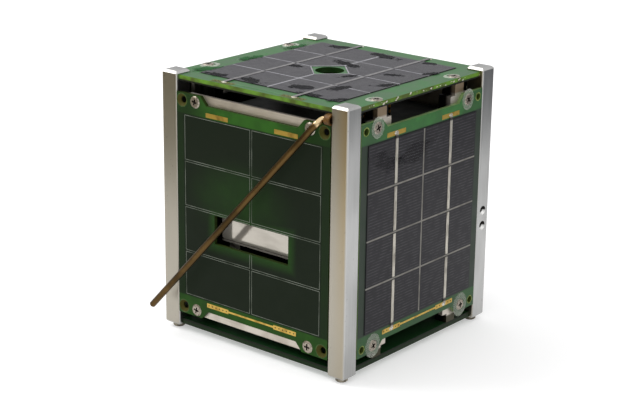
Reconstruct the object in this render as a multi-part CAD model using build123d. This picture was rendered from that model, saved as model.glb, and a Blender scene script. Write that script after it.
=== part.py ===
"""A one-unit cube satellite: four rails, six boards with solar cells, and one folding rod antenna.

Millimetres. +Z is up. The origin lies on the floor below the middle of the rail square, and the board
without cells, with the access port, faces -Y.
"""

import math
import os

from build123d import *

# Rails and the spring feet in their lower ends
BODY_WIDTH = 100.0
RAIL_LENGTH = 113.5
RAIL_SIDE = 8.5
RAIL_EDGE_ROUND = 0.8
RAIL_END_CHAMFER = 1.0
FOOT_PROUD = 1.8
FOOT_DIAMETER = 5.2
FOOT_EDGE_CHAMFER = 0.4
RAIL_SCREW_RISE = 42.8
RAIL_SCREW_SPACING = 6.9
RAIL_SCREW_DIAMETER = 2.2
RAIL_SCREW_HEAD_DIAMETER = 4.0
RAIL_SCREW_DEPTH = 5.0

# Side boards, between the rails, measured from the rails' ends and from their own edges
SIDE_BOARD_THICKNESS = 1.6
SIDE_BOARD_RISE = 7.1
SIDE_BOARD_DROP = 8.2
BOARD_CLEARANCE = 0.1
SLOT_DEPTH = 3.7
SLOT_SIDE = 13.4
SLOT_SLANT = 3.4
PORT_WIDTH = 40.6
PORT_HEIGHT = 12.7
PORT_RISE = 49.0
SPARE_HOLE_DIAMETER = 2.9
SPARE_HOLE_SIDE = 3.0
SPARE_HOLE_EDGE = 3.2
COUNTERSINK_DIAMETER = 5.4
COUNTERSINK_DEPTH = 1.1
SIDE_SCREW_DIAMETER = 3.2
SIDE_SCREW_SIDE = 10.4
SIDE_SCREW_EDGE = 3.0

# Aluminium walls behind the front and rear boards, ribs and blocks behind the right and left boards
WALL_THICKNESS = 1.5
WALL_PORT_MARGIN = 3.0
WALL_CORNER_MARGIN = 1.5
RIB_HEIGHT = 5.0
RIB_DEPTH = 4.0
BLOCK_INWARD = 10.6
BLOCK_OUTWARD = 3.2
BLOCK_HEIGHT = 7.0
BLOCK_DEPTH = 6.0
BLOCK_EDGE = 0.3
POST_WIDTH = 6.0

# End boards, notched round the rails
END_BOARD_THICKNESS = 2.4
END_BOARD_SETBACK = 1.7
TOP_BOARD_INSET = 1.4
BOTTOM_BOARD_INSET = 0.9
END_PORT_DIAMETER = 12.4
END_SCREW_INWARD = 4.5
END_SCREW_DIAMETER = 3.2

# Solar cells in a field inside each board's edges, and the ribbons soldered along them
CELL_COLUMNS = 2
CELL_ROWS = 4
CELL_GAP_ACROSS = 0.9
CELL_GAP_UP = 0.7
CELL_THICKNESS = 0.3
CELL_DIAMOND = 10.9
SIDE_FIELD_SIDE = 4.4
SIDE_FIELD_EDGE = 9.3
END_FIELD_SIDE = 11.2
END_FIELD_EDGE = 8.5
RIBBON_WIDTH = 1.7
RIBBON_THICKNESS = 0.15
RIBBON_BREAK = 1.1
RIBBON_FOOT = 1.2
SIDE_RIBBON_OVERHANG = 1.6
END_RIBBON_OVERHANG = 5.6

# Antenna: a bent rod whose short leg turns in a block between the front board and the top board
ROD_DIAMETER = 2.8
ROD_CLEARANCE = 0.05
ROD_AXIS_INSET = 0.5
ROD_END_GAP = 0.3
HINGE_BLOCK_WIDTH = 2.6
HINGE_BLOCK_DEPTH = 5.0
ROD_LEG = 0.1
ROD_LEG_BEND = 1.9
ROD_STEP_ACROSS = 0.8
ROD_STEP_DROP = 2.15
ROD_STEP_BEND = 2.2
ROD_STANDOFF = 3.6
ROD_TIP_PAST = 0.2
ROD_TIP_STANDOFF = 8.0
ROD_TIP_RISE = 9.85
ROD_TIP_ROUND = 0.8

# Boards stacked inside on six-sided standoffs, seen through the slots and the port
STACK_CLEARANCE = 1.5
STACK_BOARD_THICKNESS = 1.6
LOWER_STANDOFF = 16.7
MIDDLE_STANDOFF = 15.1
UPPER_STANDOFF = 16.1
STANDOFF_ACROSS = 4.5
STANDOFF_EDGE = 4.0
BATTERY_PAST_PORT = 0.6
BATTERY_SIDE = 13.0
BATTERY_SETBACK = 5.5
BATTERY_REAR = 16.5
BATTERY_LIFT = 4.6
BATTERY_HEIGHT = 21.0
BATTERY_BASE = 0.8
BATTERY_SEAM = 0.5
BATTERY_FOOT = 6.0
HEADER_WIDTH = 5.0
HEADER_HEIGHT = 2.5
HEADER_SIDE = 0.5
HEADER_FRONT = 28.0
PIN_COUNT = 13
PIN_ROWS = 2
PIN_PITCH = 2.54
PIN_SIDE = 0.64
PIN_HEIGHT = 10.5

# Planes that several pieces share
HALF = BODY_WIDTH / 2
INNER = HALF - RAIL_SIDE
RAIL_CENTRE = HALF - RAIL_SIDE / 2
RAIL_BASE = FOOT_PROUD
RAIL_TOP = RAIL_BASE + RAIL_LENGTH
SIDE_BASE = RAIL_BASE + SIDE_BOARD_RISE
SIDE_TOP = RAIL_TOP - SIDE_BOARD_DROP
SIDE_CENTRE = (SIDE_BASE + SIDE_TOP) / 2
SIDE_REACH = INNER - BOARD_CLEARANCE
SIDE_BACK = HALF - SIDE_BOARD_THICKNESS
WALL_BACK = SIDE_BACK - WALL_THICKNESS
PORT_CENTRE = RAIL_BASE + PORT_RISE
TOP_OUTER = RAIL_TOP - TOP_BOARD_INSET
TOP_INNER = TOP_OUTER - END_BOARD_THICKNESS
BOTTOM_OUTER = RAIL_BASE + BOTTOM_BOARD_INSET
BOTTOM_INNER = BOTTOM_OUTER + END_BOARD_THICKNESS
END_REACH = HALF - END_BOARD_SETBACK
SPARE_HOLE_REACH = SIDE_REACH - SPARE_HOLE_SIDE
SPARE_HOLE_RISES = (SIDE_BASE + SPARE_HOLE_EDGE, SIDE_TOP - SPARE_HOLE_EDGE)
SIDE_SCREW_REACH = SIDE_REACH - SIDE_SCREW_SIDE
SIDE_SCREW_RISES = (SIDE_BASE + SIDE_SCREW_EDGE, SIDE_TOP - SIDE_SCREW_EDGE)
END_SCREW_REACH = SIDE_SCREW_REACH - END_SCREW_INWARD
END_SCREW_INSET = SIDE_BACK - BLOCK_DEPTH / 2
ROD_AXIS_Y = ROD_AXIS_INSET - HALF
ROD_AXIS_Z = (SIDE_TOP + TOP_INNER) / 2
HINGE_BLOCK_LEFT = INNER - HINGE_BLOCK_WIDTH
STACK_REACH = INNER - STACK_CLEARANCE
LOWER_BOARD = BOTTOM_INNER + LOWER_STANDOFF
MIDDLE_BOARD = LOWER_BOARD + STACK_BOARD_THICKNESS + MIDDLE_STANDOFF
UPPER_BOARD = TOP_INNER - UPPER_STANDOFF - STACK_BOARD_THICKNESS

# The stacked boards and the heights of their undersides
STACK_BOARDS = {
    "stack_board_lower": LOWER_BOARD,
    "stack_board_middle": MIDDLE_BOARD,
    "stack_board_upper": UPPER_BOARD,
}

# The four sides, each made facing -Y and turned about Z
SIDES = (
    # name, turn, has solar cells, has a wall behind it
    ("front", 0, False, True),
    ("right", 90, True, False),
    ("rear", 180, True, True),
    ("left", 270, True, False),
)
# The four rails: name, sign of X, sign of Y
RAILS = (
    ("front_right", 1, -1),
    ("front_left", -1, -1),
    ("rear_right", 1, 1),
    ("rear_left", -1, 1),
)


def span(x, y, z):
    """A box between two values on each axis."""
    size = [high - low for low, high in (x, y, z)]
    middle = [(high + low) / 2 for low, high in (x, y, z)]
    return Pos(*middle) * Box(*size)


def group(shapes):
    """Solids that share a node."""
    return Compound(children=[solid for shape in shapes for solid in shape.solids()])


def both(value):
    """A value and its negative."""
    return (-value, value)


def rail(x_sign, y_sign):
    """A square bar with rounded long edges and chamfered ends."""
    bar = Box(RAIL_SIDE, RAIL_SIDE, RAIL_LENGTH)
    ends = bar.faces().sort_by(Axis.Z)
    bar = chamfer(ends[0].edges() + ends[-1].edges(), RAIL_END_CHAMFER)
    rounded = RectangleRounded(RAIL_SIDE, RAIL_SIDE, RAIL_EDGE_ROUND)
    bar &= extrude(rounded, RAIL_LENGTH / 2, both=True)
    return Pos(x_sign * RAIL_CENTRE, y_sign * RAIL_CENTRE, RAIL_BASE + RAIL_LENGTH / 2) * bar


def rail_screw_holes():
    """The countersunk pair in the right face of the rear right rail."""
    holes = []
    for rise in (RAIL_SCREW_RISE, RAIL_SCREW_RISE + RAIL_SCREW_SPACING):
        seat = Plane(origin=(HALF, RAIL_CENTRE, RAIL_BASE + rise), z_dir=(1, 0, 0))
        hole = CounterSinkHole(
            radius=RAIL_SCREW_DIAMETER / 2,
            counter_sink_radius=RAIL_SCREW_HEAD_DIAMETER / 2,
            depth=RAIL_SCREW_DEPTH,
        )
        holes.append(seat * hole)
    return holes


def foot(x_sign, y_sign):
    """A spring plunger's round head, below the middle of the rail's lower end, on the floor."""
    head = Cylinder(FOOT_DIAMETER / 2, FOOT_PROUD, align=(Align.CENTER, Align.CENTER, Align.MIN))
    head = chamfer(head.edges().sort_by(Axis.Z)[0], FOOT_EDGE_CHAMFER)
    return Pos(x_sign * RAIL_CENTRE, y_sign * RAIL_CENTRE, 0) * head


def hole_pattern(reach, rises, diameter):
    """Four round holes in a side board's outline."""
    return [Pos(x, z) * Circle(diameter / 2) for x in both(reach) for z in rises]


def plate_outline():
    """The rectangle that a side board and its wall share, in X and Z."""
    return Pos(0, SIDE_CENTRE) * Rectangle(2 * SIDE_REACH, SIDE_TOP - SIDE_BASE)


def port_outline(margin):
    """The access port's opening, larger by a margin on every side."""
    return Pos(0, PORT_CENTRE) * Rectangle(PORT_WIDTH + 2 * margin, PORT_HEIGHT + 2 * margin)


def slot_outlines():
    """The tapered slots in a side board's upper and lower edges."""
    mouth = SIDE_REACH - SLOT_SIDE
    bottom = mouth - SLOT_SLANT
    slots = []
    for edge, floor in ((SIDE_TOP, SIDE_TOP - SLOT_DEPTH), (SIDE_BASE, SIDE_BASE + SLOT_DEPTH)):
        corners = [(-mouth, edge), (mouth, edge), (bottom, floor), (-bottom, floor)]
        slots.append(make_face(Polyline(*corners, close=True)))
    return slots


def countersinks():
    """The cones at the front board's spare holes, from its outer face inwards."""
    radii = (SPARE_HOLE_DIAMETER / 2, COUNTERSINK_DIAMETER / 2)
    cone = Cone(*radii, COUNTERSINK_DEPTH, align=(Align.CENTER, Align.CENTER, Align.MAX))
    seats = [Pos(x, -HALF, z) for x in both(SPARE_HOLE_REACH) for z in SPARE_HOLE_RISES]
    return [seat * Rot(90, 0, 0) * cone for seat in seats]


def side_board(has_port):
    """A circuit board between two rails, flush with their faces, as it faces -Y."""
    outline = plate_outline() - slot_outlines()
    outline -= hole_pattern(SPARE_HOLE_REACH, SPARE_HOLE_RISES, SPARE_HOLE_DIAMETER)
    outline -= hole_pattern(SIDE_SCREW_REACH, SIDE_SCREW_RISES, SIDE_SCREW_DIAMETER)
    if has_port:
        outline -= port_outline(0)
    board = extrude(Plane.XZ.offset(SIDE_BACK) * outline, SIDE_BOARD_THICKNESS)
    if has_port:
        board -= countersinks()
    return board


def wall(has_port):
    """The aluminium plate behind a front or rear board, cut away behind the port and the spare holes."""
    outline = plate_outline()
    if has_port:
        outline -= port_outline(WALL_PORT_MARGIN)
    corner_margin = SPARE_HOLE_DIAMETER / 2 + WALL_CORNER_MARGIN
    corner = Rectangle(2 * (SPARE_HOLE_SIDE + corner_margin), 2 * (SPARE_HOLE_EDGE + corner_margin))
    outline -= [Pos(x, z) * corner for x in both(SIDE_REACH) for z in (SIDE_BASE, SIDE_TOP)]
    return extrude(Plane.XZ.offset(WALL_BACK) * outline, WALL_THICKNESS)


def rib(is_top):
    """A bar from rail to rail behind a side board, under or over its blocks."""
    if is_top:
        base = SIDE_TOP - BLOCK_EDGE - BLOCK_HEIGHT - RIB_HEIGHT
    else:
        base = SIDE_BASE + BLOCK_EDGE + BLOCK_HEIGHT
    return span(both(INNER), (-SIDE_BACK, RIB_DEPTH - SIDE_BACK), (base, base + RIB_HEIGHT))


def corner_block(sign, is_top):
    """A block that ties a side board to an end board, with a post up or down to that board."""
    across = sorted((sign * (SIDE_SCREW_REACH - BLOCK_INWARD), sign * (SIDE_SCREW_REACH + BLOCK_OUTWARD)))
    depth = (-SIDE_BACK, BLOCK_DEPTH - SIDE_BACK)
    post_across = (sign * END_SCREW_REACH - POST_WIDTH / 2, sign * END_SCREW_REACH + POST_WIDTH / 2)
    if is_top:
        edge = SIDE_TOP - BLOCK_EDGE
        body = span(across, depth, (edge - BLOCK_HEIGHT, edge))
        return body + span(post_across, depth, (edge, TOP_INNER))
    edge = SIDE_BASE + BLOCK_EDGE
    body = span(across, depth, (edge, edge + BLOCK_HEIGHT))
    return body + span(post_across, depth, (BOTTOM_INNER, edge))


def end_board(outer, inner):
    """An end board, notched round the rails, with a round port and four screw holes."""
    outline = Rectangle(2 * END_REACH, 2 * END_REACH) - Circle(END_PORT_DIAMETER / 2)
    notch_side = END_REACH - SIDE_REACH
    for x in both(SIDE_REACH + notch_side / 2):
        for y in both(SIDE_REACH + notch_side / 2):
            outline -= Pos(x, y) * Rectangle(notch_side, notch_side)
    for x in both(END_SCREW_INSET):
        for y in both(END_SCREW_REACH):
            outline -= Pos(x, y) * Circle(END_SCREW_DIAMETER / 2)
    return extrude(Pos(0, 0, min(outer, inner)) * outline, END_BOARD_THICKNESS)


def field_steps(length, count, gap):
    """The size of one cell and the middles of all of them, along a field of a given length."""
    size = (length - (count - 1) * gap) / count
    return size, [(i - (count - 1) / 2) * (size + gap) for i in range(count)]


def cells(plane, field, has_diamond):
    """The cells in a field, on the plane of a board's outer face, cut back round an end board's port."""
    across_size, columns = field_steps(field[0], CELL_COLUMNS, CELL_GAP_ACROSS)
    up_size, rows = field_steps(field[1], CELL_ROWS, CELL_GAP_UP)
    diamond_side = CELL_DIAMOND * math.sqrt(2)
    result = []
    for across in columns:
        for up in rows:
            outline = Pos(across, up) * Rectangle(across_size, up_size)
            if has_diamond:
                outline -= Rot(0, 0, 45) * Rectangle(diamond_side, diamond_side)
            result.append(extrude(plane * outline, CELL_THICKNESS))
    return group(result)


def ribbons(plane, field, overhang):
    """A row of ribbons along each column of cells, the first and last with a foot down on the board."""
    _, columns = field_steps(field[0], CELL_COLUMNS, CELL_GAP_ACROSS)
    up_size, rows = field_steps(field[1], CELL_ROWS, CELL_GAP_UP)
    reach = field[1] / 2 + overhang
    half = (up_size + CELL_GAP_UP - RIBBON_BREAK) / 2
    result = []
    for across in columns:
        for up in rows:
            low = -reach if up == rows[0] else up - half
            high = reach if up == rows[-1] else up + half
            x = (across - RIBBON_WIDTH / 2, across + RIBBON_WIDTH / 2)
            ribbon = span(x, (low, high), (CELL_THICKNESS, CELL_THICKNESS + RIBBON_THICKNESS))
            if up == rows[0]:
                ribbon += span(x, (low, low + RIBBON_FOOT), (0, CELL_THICKNESS))
            if up == rows[-1]:
                ribbon += span(x, (high - RIBBON_FOOT, high), (0, CELL_THICKNESS))
            result.append(plane * ribbon)
    return group(result)


def rod_path():
    """The rod's centre line: a short leg in the block, a step out past the front board, a long straight run."""
    start = Vector(INNER - ROD_END_GAP, ROD_AXIS_Y, ROD_AXIS_Z)
    tip = Vector(-HALF - ROD_TIP_PAST, -HALF - ROD_TIP_STANDOFF, RAIL_BASE + ROD_TIP_RISE)
    step = Vector(-ROD_STEP_ACROSS, -HALF - ROD_STANDOFF - ROD_AXIS_Y, -ROD_STEP_DROP)
    turn = math.radians(step.get_angle(Vector(-1, 0, 0)))
    bend_length = ROD_LEG_BEND * math.tan(turn / 2)
    leg = Vector(HINGE_BLOCK_LEFT - ROD_LEG - bend_length, ROD_AXIS_Y, ROD_AXIS_Z)
    return FilletPolyline(start, leg, leg + step, tip, radius=[ROD_LEG_BEND, ROD_STEP_BEND])


def antenna_rod():
    """The bent rod, swept along its path, with a rounded tip."""
    path = rod_path()
    section = Plane(origin=path @ 0, z_dir=path % 0) * Circle(ROD_DIAMETER / 2)
    rod = sweep(section, path=path)
    return fillet(rod.faces().sort_by_distance(path @ 1)[0].edges(), ROD_TIP_ROUND)


def hinge_block():
    """The insulating block that the rod's leg turns in, rounded in front, against the front right rail."""
    depth = (ROD_AXIS_Y, ROD_AXIS_Y + HINGE_BLOCK_DEPTH)
    block = span((HINGE_BLOCK_LEFT, INNER), depth, (SIDE_TOP, TOP_INNER))
    place = Pos(INNER - HINGE_BLOCK_WIDTH / 2, ROD_AXIS_Y, ROD_AXIS_Z) * Rot(0, 90, 0)
    block += place * Cylinder((TOP_INNER - SIDE_TOP) / 2, HINGE_BLOCK_WIDTH)
    return block - place * Cylinder(ROD_DIAMETER / 2 + ROD_CLEARANCE, HINGE_BLOCK_WIDTH)


def stack_board(underside):
    """A plain square board inside."""
    return span(both(STACK_REACH), both(STACK_REACH), (underside, underside + STACK_BOARD_THICKNESS))


def standoffs():
    """Six-sided posts at the boards' corners, from end board to end board with the stack between."""
    lows = [BOTTOM_INNER] + [underside + STACK_BOARD_THICKNESS for underside in STACK_BOARDS.values()]
    highs = [*STACK_BOARDS.values(), TOP_INNER]
    section = RegularPolygon(STANDOFF_ACROSS / 2, 6, major_radius=False)
    reach = STACK_REACH - STANDOFF_EDGE
    posts = []
    for low, high in zip(lows, highs):
        for x in both(reach):
            for y in both(reach):
                posts.append(extrude(Pos(x, y, low) * section, high - low))
    return group(posts)


def battery_box():
    """The battery box on the middle board: feet, a base plate, a seam and the box."""
    x = (-PORT_WIDTH / 2 - BATTERY_PAST_PORT, STACK_REACH - BATTERY_SIDE)
    y = (BATTERY_SETBACK - HALF, STACK_REACH - BATTERY_REAR)
    floor = MIDDLE_BOARD + STACK_BOARD_THICKNESS
    base = floor + BATTERY_LIFT
    seam = base + BATTERY_BASE
    lid = seam + BATTERY_SEAM
    inset_x = (x[0] + BATTERY_SEAM, x[1] - BATTERY_SEAM)
    inset_y = (y[0] + BATTERY_SEAM, y[1] - BATTERY_SEAM)
    box = span(x, y, (base, seam)) + span(inset_x, inset_y, (seam, lid))
    box += span(x, y, (lid, lid + BATTERY_HEIGHT))
    for left in (x[0], x[1] - BATTERY_FOOT):
        for front in (-STACK_REACH, y[1] - BATTERY_FOOT):
            box += span((left, left + BATTERY_FOOT), (front, front + BATTERY_FOOT), (floor, base))
    return box


def header():
    """The stacking connector on the upper board, its end towards the right board, and its long pins."""
    floor = UPPER_BOARD + STACK_BOARD_THICKNESS
    right = STACK_REACH - HEADER_SIDE
    front = HEADER_FRONT - STACK_REACH
    top = floor + HEADER_HEIGHT
    block = span((right - PIN_COUNT * PIN_PITCH, right), (front, front + HEADER_WIDTH), (floor, top))
    pins = []
    for row in range(PIN_ROWS):
        for count in range(PIN_COUNT):
            x = right - (count + 0.5) * PIN_PITCH
            y = front + HEADER_WIDTH / 2 + (row - (PIN_ROWS - 1) / 2) * PIN_PITCH
            pins.append(Pos(x, y, top + PIN_HEIGHT / 2) * Box(PIN_SIDE, PIN_SIDE, PIN_HEIGHT))
    return block, group(pins)


def structure_nodes():
    """Rails, feet, walls, ribs and corner blocks."""
    nodes = {}
    for name, x_sign, y_sign in RAILS:
        nodes[f"rail_{name}"] = rail(x_sign, y_sign)
        nodes[f"foot_{name}"] = foot(x_sign, y_sign)
    nodes["rail_rear_right"] -= rail_screw_holes()
    for name, turn, has_cells, has_wall in SIDES:
        place = Rot(0, 0, turn)
        if has_wall:
            nodes[f"wall_{name}"] = place * wall(not has_cells)
            continue
        for level in ("top", "bottom"):
            is_top = level == "top"
            nodes[f"rib_{name}_{level}"] = place * rib(is_top)
            pair = group(corner_block(sign, is_top) for sign in (-1, 1))
            nodes[f"blocks_{name}_{level}"] = place * pair
    return nodes


def board_nodes():
    """Side and end boards with their cells and ribbons."""
    nodes = {}
    side_face = Plane(origin=(0, -HALF, SIDE_CENTRE), x_dir=(1, 0, 0), z_dir=(0, -1, 0))
    side_field = (2 * (SIDE_REACH - SIDE_FIELD_SIDE), SIDE_TOP - SIDE_BASE - 2 * SIDE_FIELD_EDGE)
    end_field = (2 * (END_REACH - END_FIELD_SIDE), 2 * (END_REACH - END_FIELD_EDGE))
    for name, turn, has_cells, _ in SIDES:
        place = Rot(0, 0, turn)
        nodes[f"board_{name}"] = place * side_board(not has_cells)
        if has_cells:
            nodes[f"cells_{name}"] = place * cells(side_face, side_field, False)
            nodes[f"ribbons_{name}"] = place * ribbons(side_face, side_field, SIDE_RIBBON_OVERHANG)
    ends = (("top", TOP_OUTER, TOP_INNER, 1), ("bottom", BOTTOM_OUTER, BOTTOM_INNER, -1))
    for name, outer, inner, up in ends:
        face = Plane(origin=(0, 0, outer), x_dir=(1, 0, 0), z_dir=(0, 0, up))
        nodes[f"board_{name}"] = end_board(outer, inner)
        nodes[f"cells_{name}"] = cells(face, end_field, True)
        nodes[f"ribbons_{name}"] = ribbons(face, end_field, END_RIBBON_OVERHANG)
    return nodes


def inner_nodes():
    """The stack inside."""
    nodes = {name: stack_board(underside) for name, underside in STACK_BOARDS.items()}
    nodes["standoffs"] = standoffs()
    nodes["battery_box"] = battery_box()
    nodes["header_block"], nodes["header_pins"] = header()
    return nodes


def main():
    """Build every node and write it."""
    nodes = {**structure_nodes(), **board_nodes(), **inner_nodes()}
    nodes["hinge_block"] = hinge_block()
    nodes["antenna_rod"] = antenna_rod()
    os.makedirs("parts", exist_ok=True)
    for name, shape in nodes.items():
        export_step(shape, f"parts/{name}.step")
    print(len(nodes), "nodes, rod", round(rod_path().length, 1), "mm long")


if __name__ == "__main__":
    main()
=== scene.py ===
"""Looks of a one-unit cube satellite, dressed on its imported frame.

Sizes are in millimetres unless a name says otherwise, and meshes are in metres, in the frame's own axes:
+Z up along the rails, -Y out of the board with the access port, +X out of the cell board beside it.
"""

import logging
import math
from collections.abc import Sequence
from dataclasses import dataclass, fields, replace
from enum import Enum
from typing import Any, ClassVar, NamedTuple

import bpy
from bpy.types import Material, Mesh, Node, NodeSocket, NodeTree, Object
from mathutils import Matrix, Vector


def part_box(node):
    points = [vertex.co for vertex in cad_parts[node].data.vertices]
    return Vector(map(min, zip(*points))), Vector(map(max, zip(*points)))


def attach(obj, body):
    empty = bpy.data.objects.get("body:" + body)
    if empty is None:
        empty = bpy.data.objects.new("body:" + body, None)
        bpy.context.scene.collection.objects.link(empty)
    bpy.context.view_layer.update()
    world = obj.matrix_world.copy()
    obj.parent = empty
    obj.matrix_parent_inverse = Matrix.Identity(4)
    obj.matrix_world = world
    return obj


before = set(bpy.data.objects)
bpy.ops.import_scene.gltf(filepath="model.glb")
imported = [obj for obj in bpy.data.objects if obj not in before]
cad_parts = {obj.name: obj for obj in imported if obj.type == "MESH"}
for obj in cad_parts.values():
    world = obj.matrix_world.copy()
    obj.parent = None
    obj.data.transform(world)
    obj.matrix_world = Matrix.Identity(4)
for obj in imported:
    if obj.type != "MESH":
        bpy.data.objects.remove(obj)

log = logging.getLogger("satellite")

MM = 0.001

Inputs = dict[str, Any] | tuple[Any, ...]
Pair = tuple[float, float]
Size = tuple[float, float, float]


def linear(code: str) -> tuple[float, float, float, float]:
    """Turn an sRGB hex colour into linear light.

    Args:
        code: A hash and six hex digits.

    Returns:
        Red, green and blue in linear light, and an alpha of one.
    """
    shares = [int(code[i:i + 2], 16) / 255 for i in (1, 3, 5)]
    light = [s / 12.92 if s <= 0.04045 else ((s + 0.055) / 1.055) ** 2.4 for s in shares]
    return (light[0], light[1], light[2], 1.0)


class Kind(Enum):
    """The kinds of node used here: Blender's type, and the settings that each always has."""

    # Read and place
    COORDINATES = ("ShaderNodeTexCoord", {})
    ATTRIBUTE = ("ShaderNodeAttribute", {})
    RAYS = ("ShaderNodeLightPath", {})
    SPLIT = ("ShaderNodeSeparateXYZ", {})
    VECTOR = ("ShaderNodeCombineXYZ", {})
    ENLARGE = ("ShaderNodeVectorMath", {"operation": "SCALE"})
    SHRINK = ("ShaderNodeVectorMath", {"operation": "DIVIDE"})
    SHIFT = ("ShaderNodeVectorMath", {"operation": "SUBTRACT"})
    LENGTH = ("ShaderNodeVectorMath", {"operation": "LENGTH"})
    # Count and compare
    TIMES = ("ShaderNodeMath", {"operation": "MULTIPLY"})
    PLUS = ("ShaderNodeMath", {"operation": "ADD"})
    MINUS = ("ShaderNodeMath", {"operation": "SUBTRACT"})
    OVER = ("ShaderNodeMath", {"operation": "DIVIDE"})
    MOST = ("ShaderNodeMath", {"operation": "MAXIMUM"})
    SIZE = ("ShaderNodeMath", {"operation": "ABSOLUTE"})
    WRAP = ("ShaderNodeMath", {"operation": "WRAP"})
    WHOLE = ("ShaderNodeMath", {"operation": "FLOOR"})
    BELOW = ("ShaderNodeMath", {"operation": "LESS_THAN"})
    # Patterns and shaders
    NOISE = ("ShaderNodeTexNoise", {"noise_dimensions": "3D"})
    RANGE = ("ShaderNodeMapRange", {"interpolation_type": "SMOOTHSTEP"})
    BLEND = ("ShaderNodeMix", {"data_type": "RGBA"})
    BUMP = ("ShaderNodeBump", {})
    GLOW = ("ShaderNodeEmission", {})
    MATT = ("ShaderNodeBsdfDiffuse", {})
    BOTH = ("ShaderNodeAddShader", {})
    SURFACE = ("ShaderNodeOutputMaterial", {})
    # Shapes
    START = ("NodeGroupInput", {})
    END = ("NodeGroupOutput", {})
    NAMED = ("GeometryNodeInputNamedAttribute", {"data_type": "FLOAT_VECTOR"})
    SPOT = ("GeometryNodeInputPosition", {})
    MIXED = ("FunctionNodeRandomValue", {"data_type": "FLOAT"})
    STREWN = ("FunctionNodeRandomValue", {"data_type": "FLOAT_VECTOR"})
    TO_COUNT = ("FunctionNodeFloatToInt", {})
    FACE_OUT = ("FunctionNodeAlignRotationToVector", {"axis": "Z"})
    TURN_ALONG = ("FunctionNodeAlignRotationToVector", {"axis": "X", "pivot_axis": "Z"})
    EULER = ("FunctionNodeEulerToRotation", {})
    SPIN = ("FunctionNodeRotateRotation", {"rotation_space": "LOCAL"})
    COPIES = ("GeometryNodeInstanceOnPoints", {})
    REAL = ("GeometryNodeRealizeInstances", {})
    PAINTED = ("GeometryNodeSetMaterial", {})
    MOVED = ("GeometryNodeTransform", {})
    PUSHED = ("GeometryNodeSetPosition", {})
    SMOOTH = ("GeometryNodeSetShadeSmooth", {})
    MARKED = ("GeometryNodeStoreNamedAttribute", {"data_type": "FLOAT"})
    CUBE = ("GeometryNodeMeshCube", {})
    CONE = ("GeometryNodeMeshCone", {})
    CYLINDER = ("GeometryNodeMeshCylinder", {})
    BALL = ("GeometryNodeMeshIcoSphere", {})
    ROW = ("GeometryNodeMeshLine", {})
    GRID = ("GeometryNodeMeshGrid", {})
    OUTLINE = ("GeometryNodeCurvePrimitiveQuadrilateral", {})
    ROUNDED = ("GeometryNodeFilletCurve", {"mode": "POLY"})
    FILLED = ("GeometryNodeFillCurve", {})
    RAISED = ("GeometryNodeExtrudeMesh", {})
    FLIPPED = ("GeometryNodeFlipFaces", {})
    TOGETHER = ("GeometryNodeJoinGeometry", {})
    WELDED = ("GeometryNodeMergeByDistance", {})
    FUSED = ("GeometryNodeMeshBoolean", {"operation": "UNION", "solver": "EXACT"})
    CUT = ("GeometryNodeMeshBoolean", {"operation": "DIFFERENCE", "solver": "EXACT"})
    EITHER = ("GeometryNodeSwitch", {"input_type": "GEOMETRY"})


class Wiring:
    """A node tree that is filled one node at a time."""

    def __init__(self, tree: NodeTree) -> None:
        """Take the tree that is filled."""
        self.tree = tree

    def put(self, kind: Kind, inputs: Inputs = (), **settings: Any) -> Node:
        """Add one node with its settings and links.

        Args:
            kind: The kind of node.
            inputs: Values and links for its inputs, as in join.
            settings: Properties of this node alone.

        Returns:
            The new node.
        """
        style, always = kind.value
        node = self.tree.nodes.new(style)
        for name, value in {**always, **settings}.items():
            setattr(node, name, value)
        self.join(node, inputs)
        return node

    def join(self, node: Node, inputs: Inputs) -> None:
        """Fill a node's inputs with values or links.

        Args:
            node: The node to fill.
            inputs: In the inputs' own order or by their names: a number, a hex colour, a node whose first
                output is meant, an output, or a list of those to link.
        """
        sockets = [socket for socket in node.inputs if socket.enabled]
        if isinstance(inputs, dict):
            pairs = [(next(s for s in sockets if s.name == name), value) for name, value in inputs.items()]
        else:
            pairs = list(zip(sockets, inputs))
        for socket, value in pairs:
            for source in value if isinstance(value, list) else [value]:
                if isinstance(source, Node):
                    source = next(out for out in source.outputs if out.enabled)
                if isinstance(source, NodeSocket):
                    self.tree.links.new(source, socket)
                elif isinstance(source, str) and source.startswith("#"):
                    socket.default_value = linear(source)
                else:
                    socket.default_value = source


class Side(Enum):
    """The six faces, each by its across and up directions; across x up points outwards."""

    FRONT = ((1, 0, 0), (0, 0, 1))
    RIGHT = ((0, 1, 0), (0, 0, 1))
    REAR = ((-1, 0, 0), (0, 0, 1))
    LEFT = ((0, -1, 0), (0, 0, 1))
    TOP = ((1, 0, 0), (0, 1, 0))
    BOTTOM = ((1, 0, 0), (0, -1, 0))

    @property
    def label(self) -> str:
        """The face's name as the nodes have it."""
        return self.name.lower()

    @property
    def across(self) -> Vector:
        """The direction to the right for someone who faces the board."""
        return Vector(self.value[0])

    @property
    def up(self) -> Vector:
        """The direction up the board."""
        return Vector(self.value[1])

    @property
    def out(self) -> Vector:
        """The direction out of the board."""
        return self.across.cross(self.up)

    @property
    def is_end(self) -> bool:
        """Whether the face is the top or the bottom."""
        return self in (Side.TOP, Side.BOTTOM)

    @property
    def axes(self) -> tuple[str, str, str]:
        """The letters of the axes across, up and out of the board."""
        return tuple("XYZ"[max(range(3), key=lambda i: abs(v[i]))] for v in (self.across, self.up, self.out))


class Slot(Enum):
    """The record's material slots that added pieces take."""

    STEEL = "foot_steel"
    MASK = "solder_mask"
    CELL = "solar_cell"
    RIBBON = "tinned_ribbon"
    GOLD = "pin_gold"
    RESIN = "hinge_resin"


class Mark(Enum):
    """The attributes that trees leave on their meshes for finishes to read."""

    RECESS = "recess"
    CLEAR = "clear"
    COVER = "cover"


class Grain(NamedTuple):
    """The real size of one soft random pattern along X, Y and Z."""

    x: float
    y: float
    z: float


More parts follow.
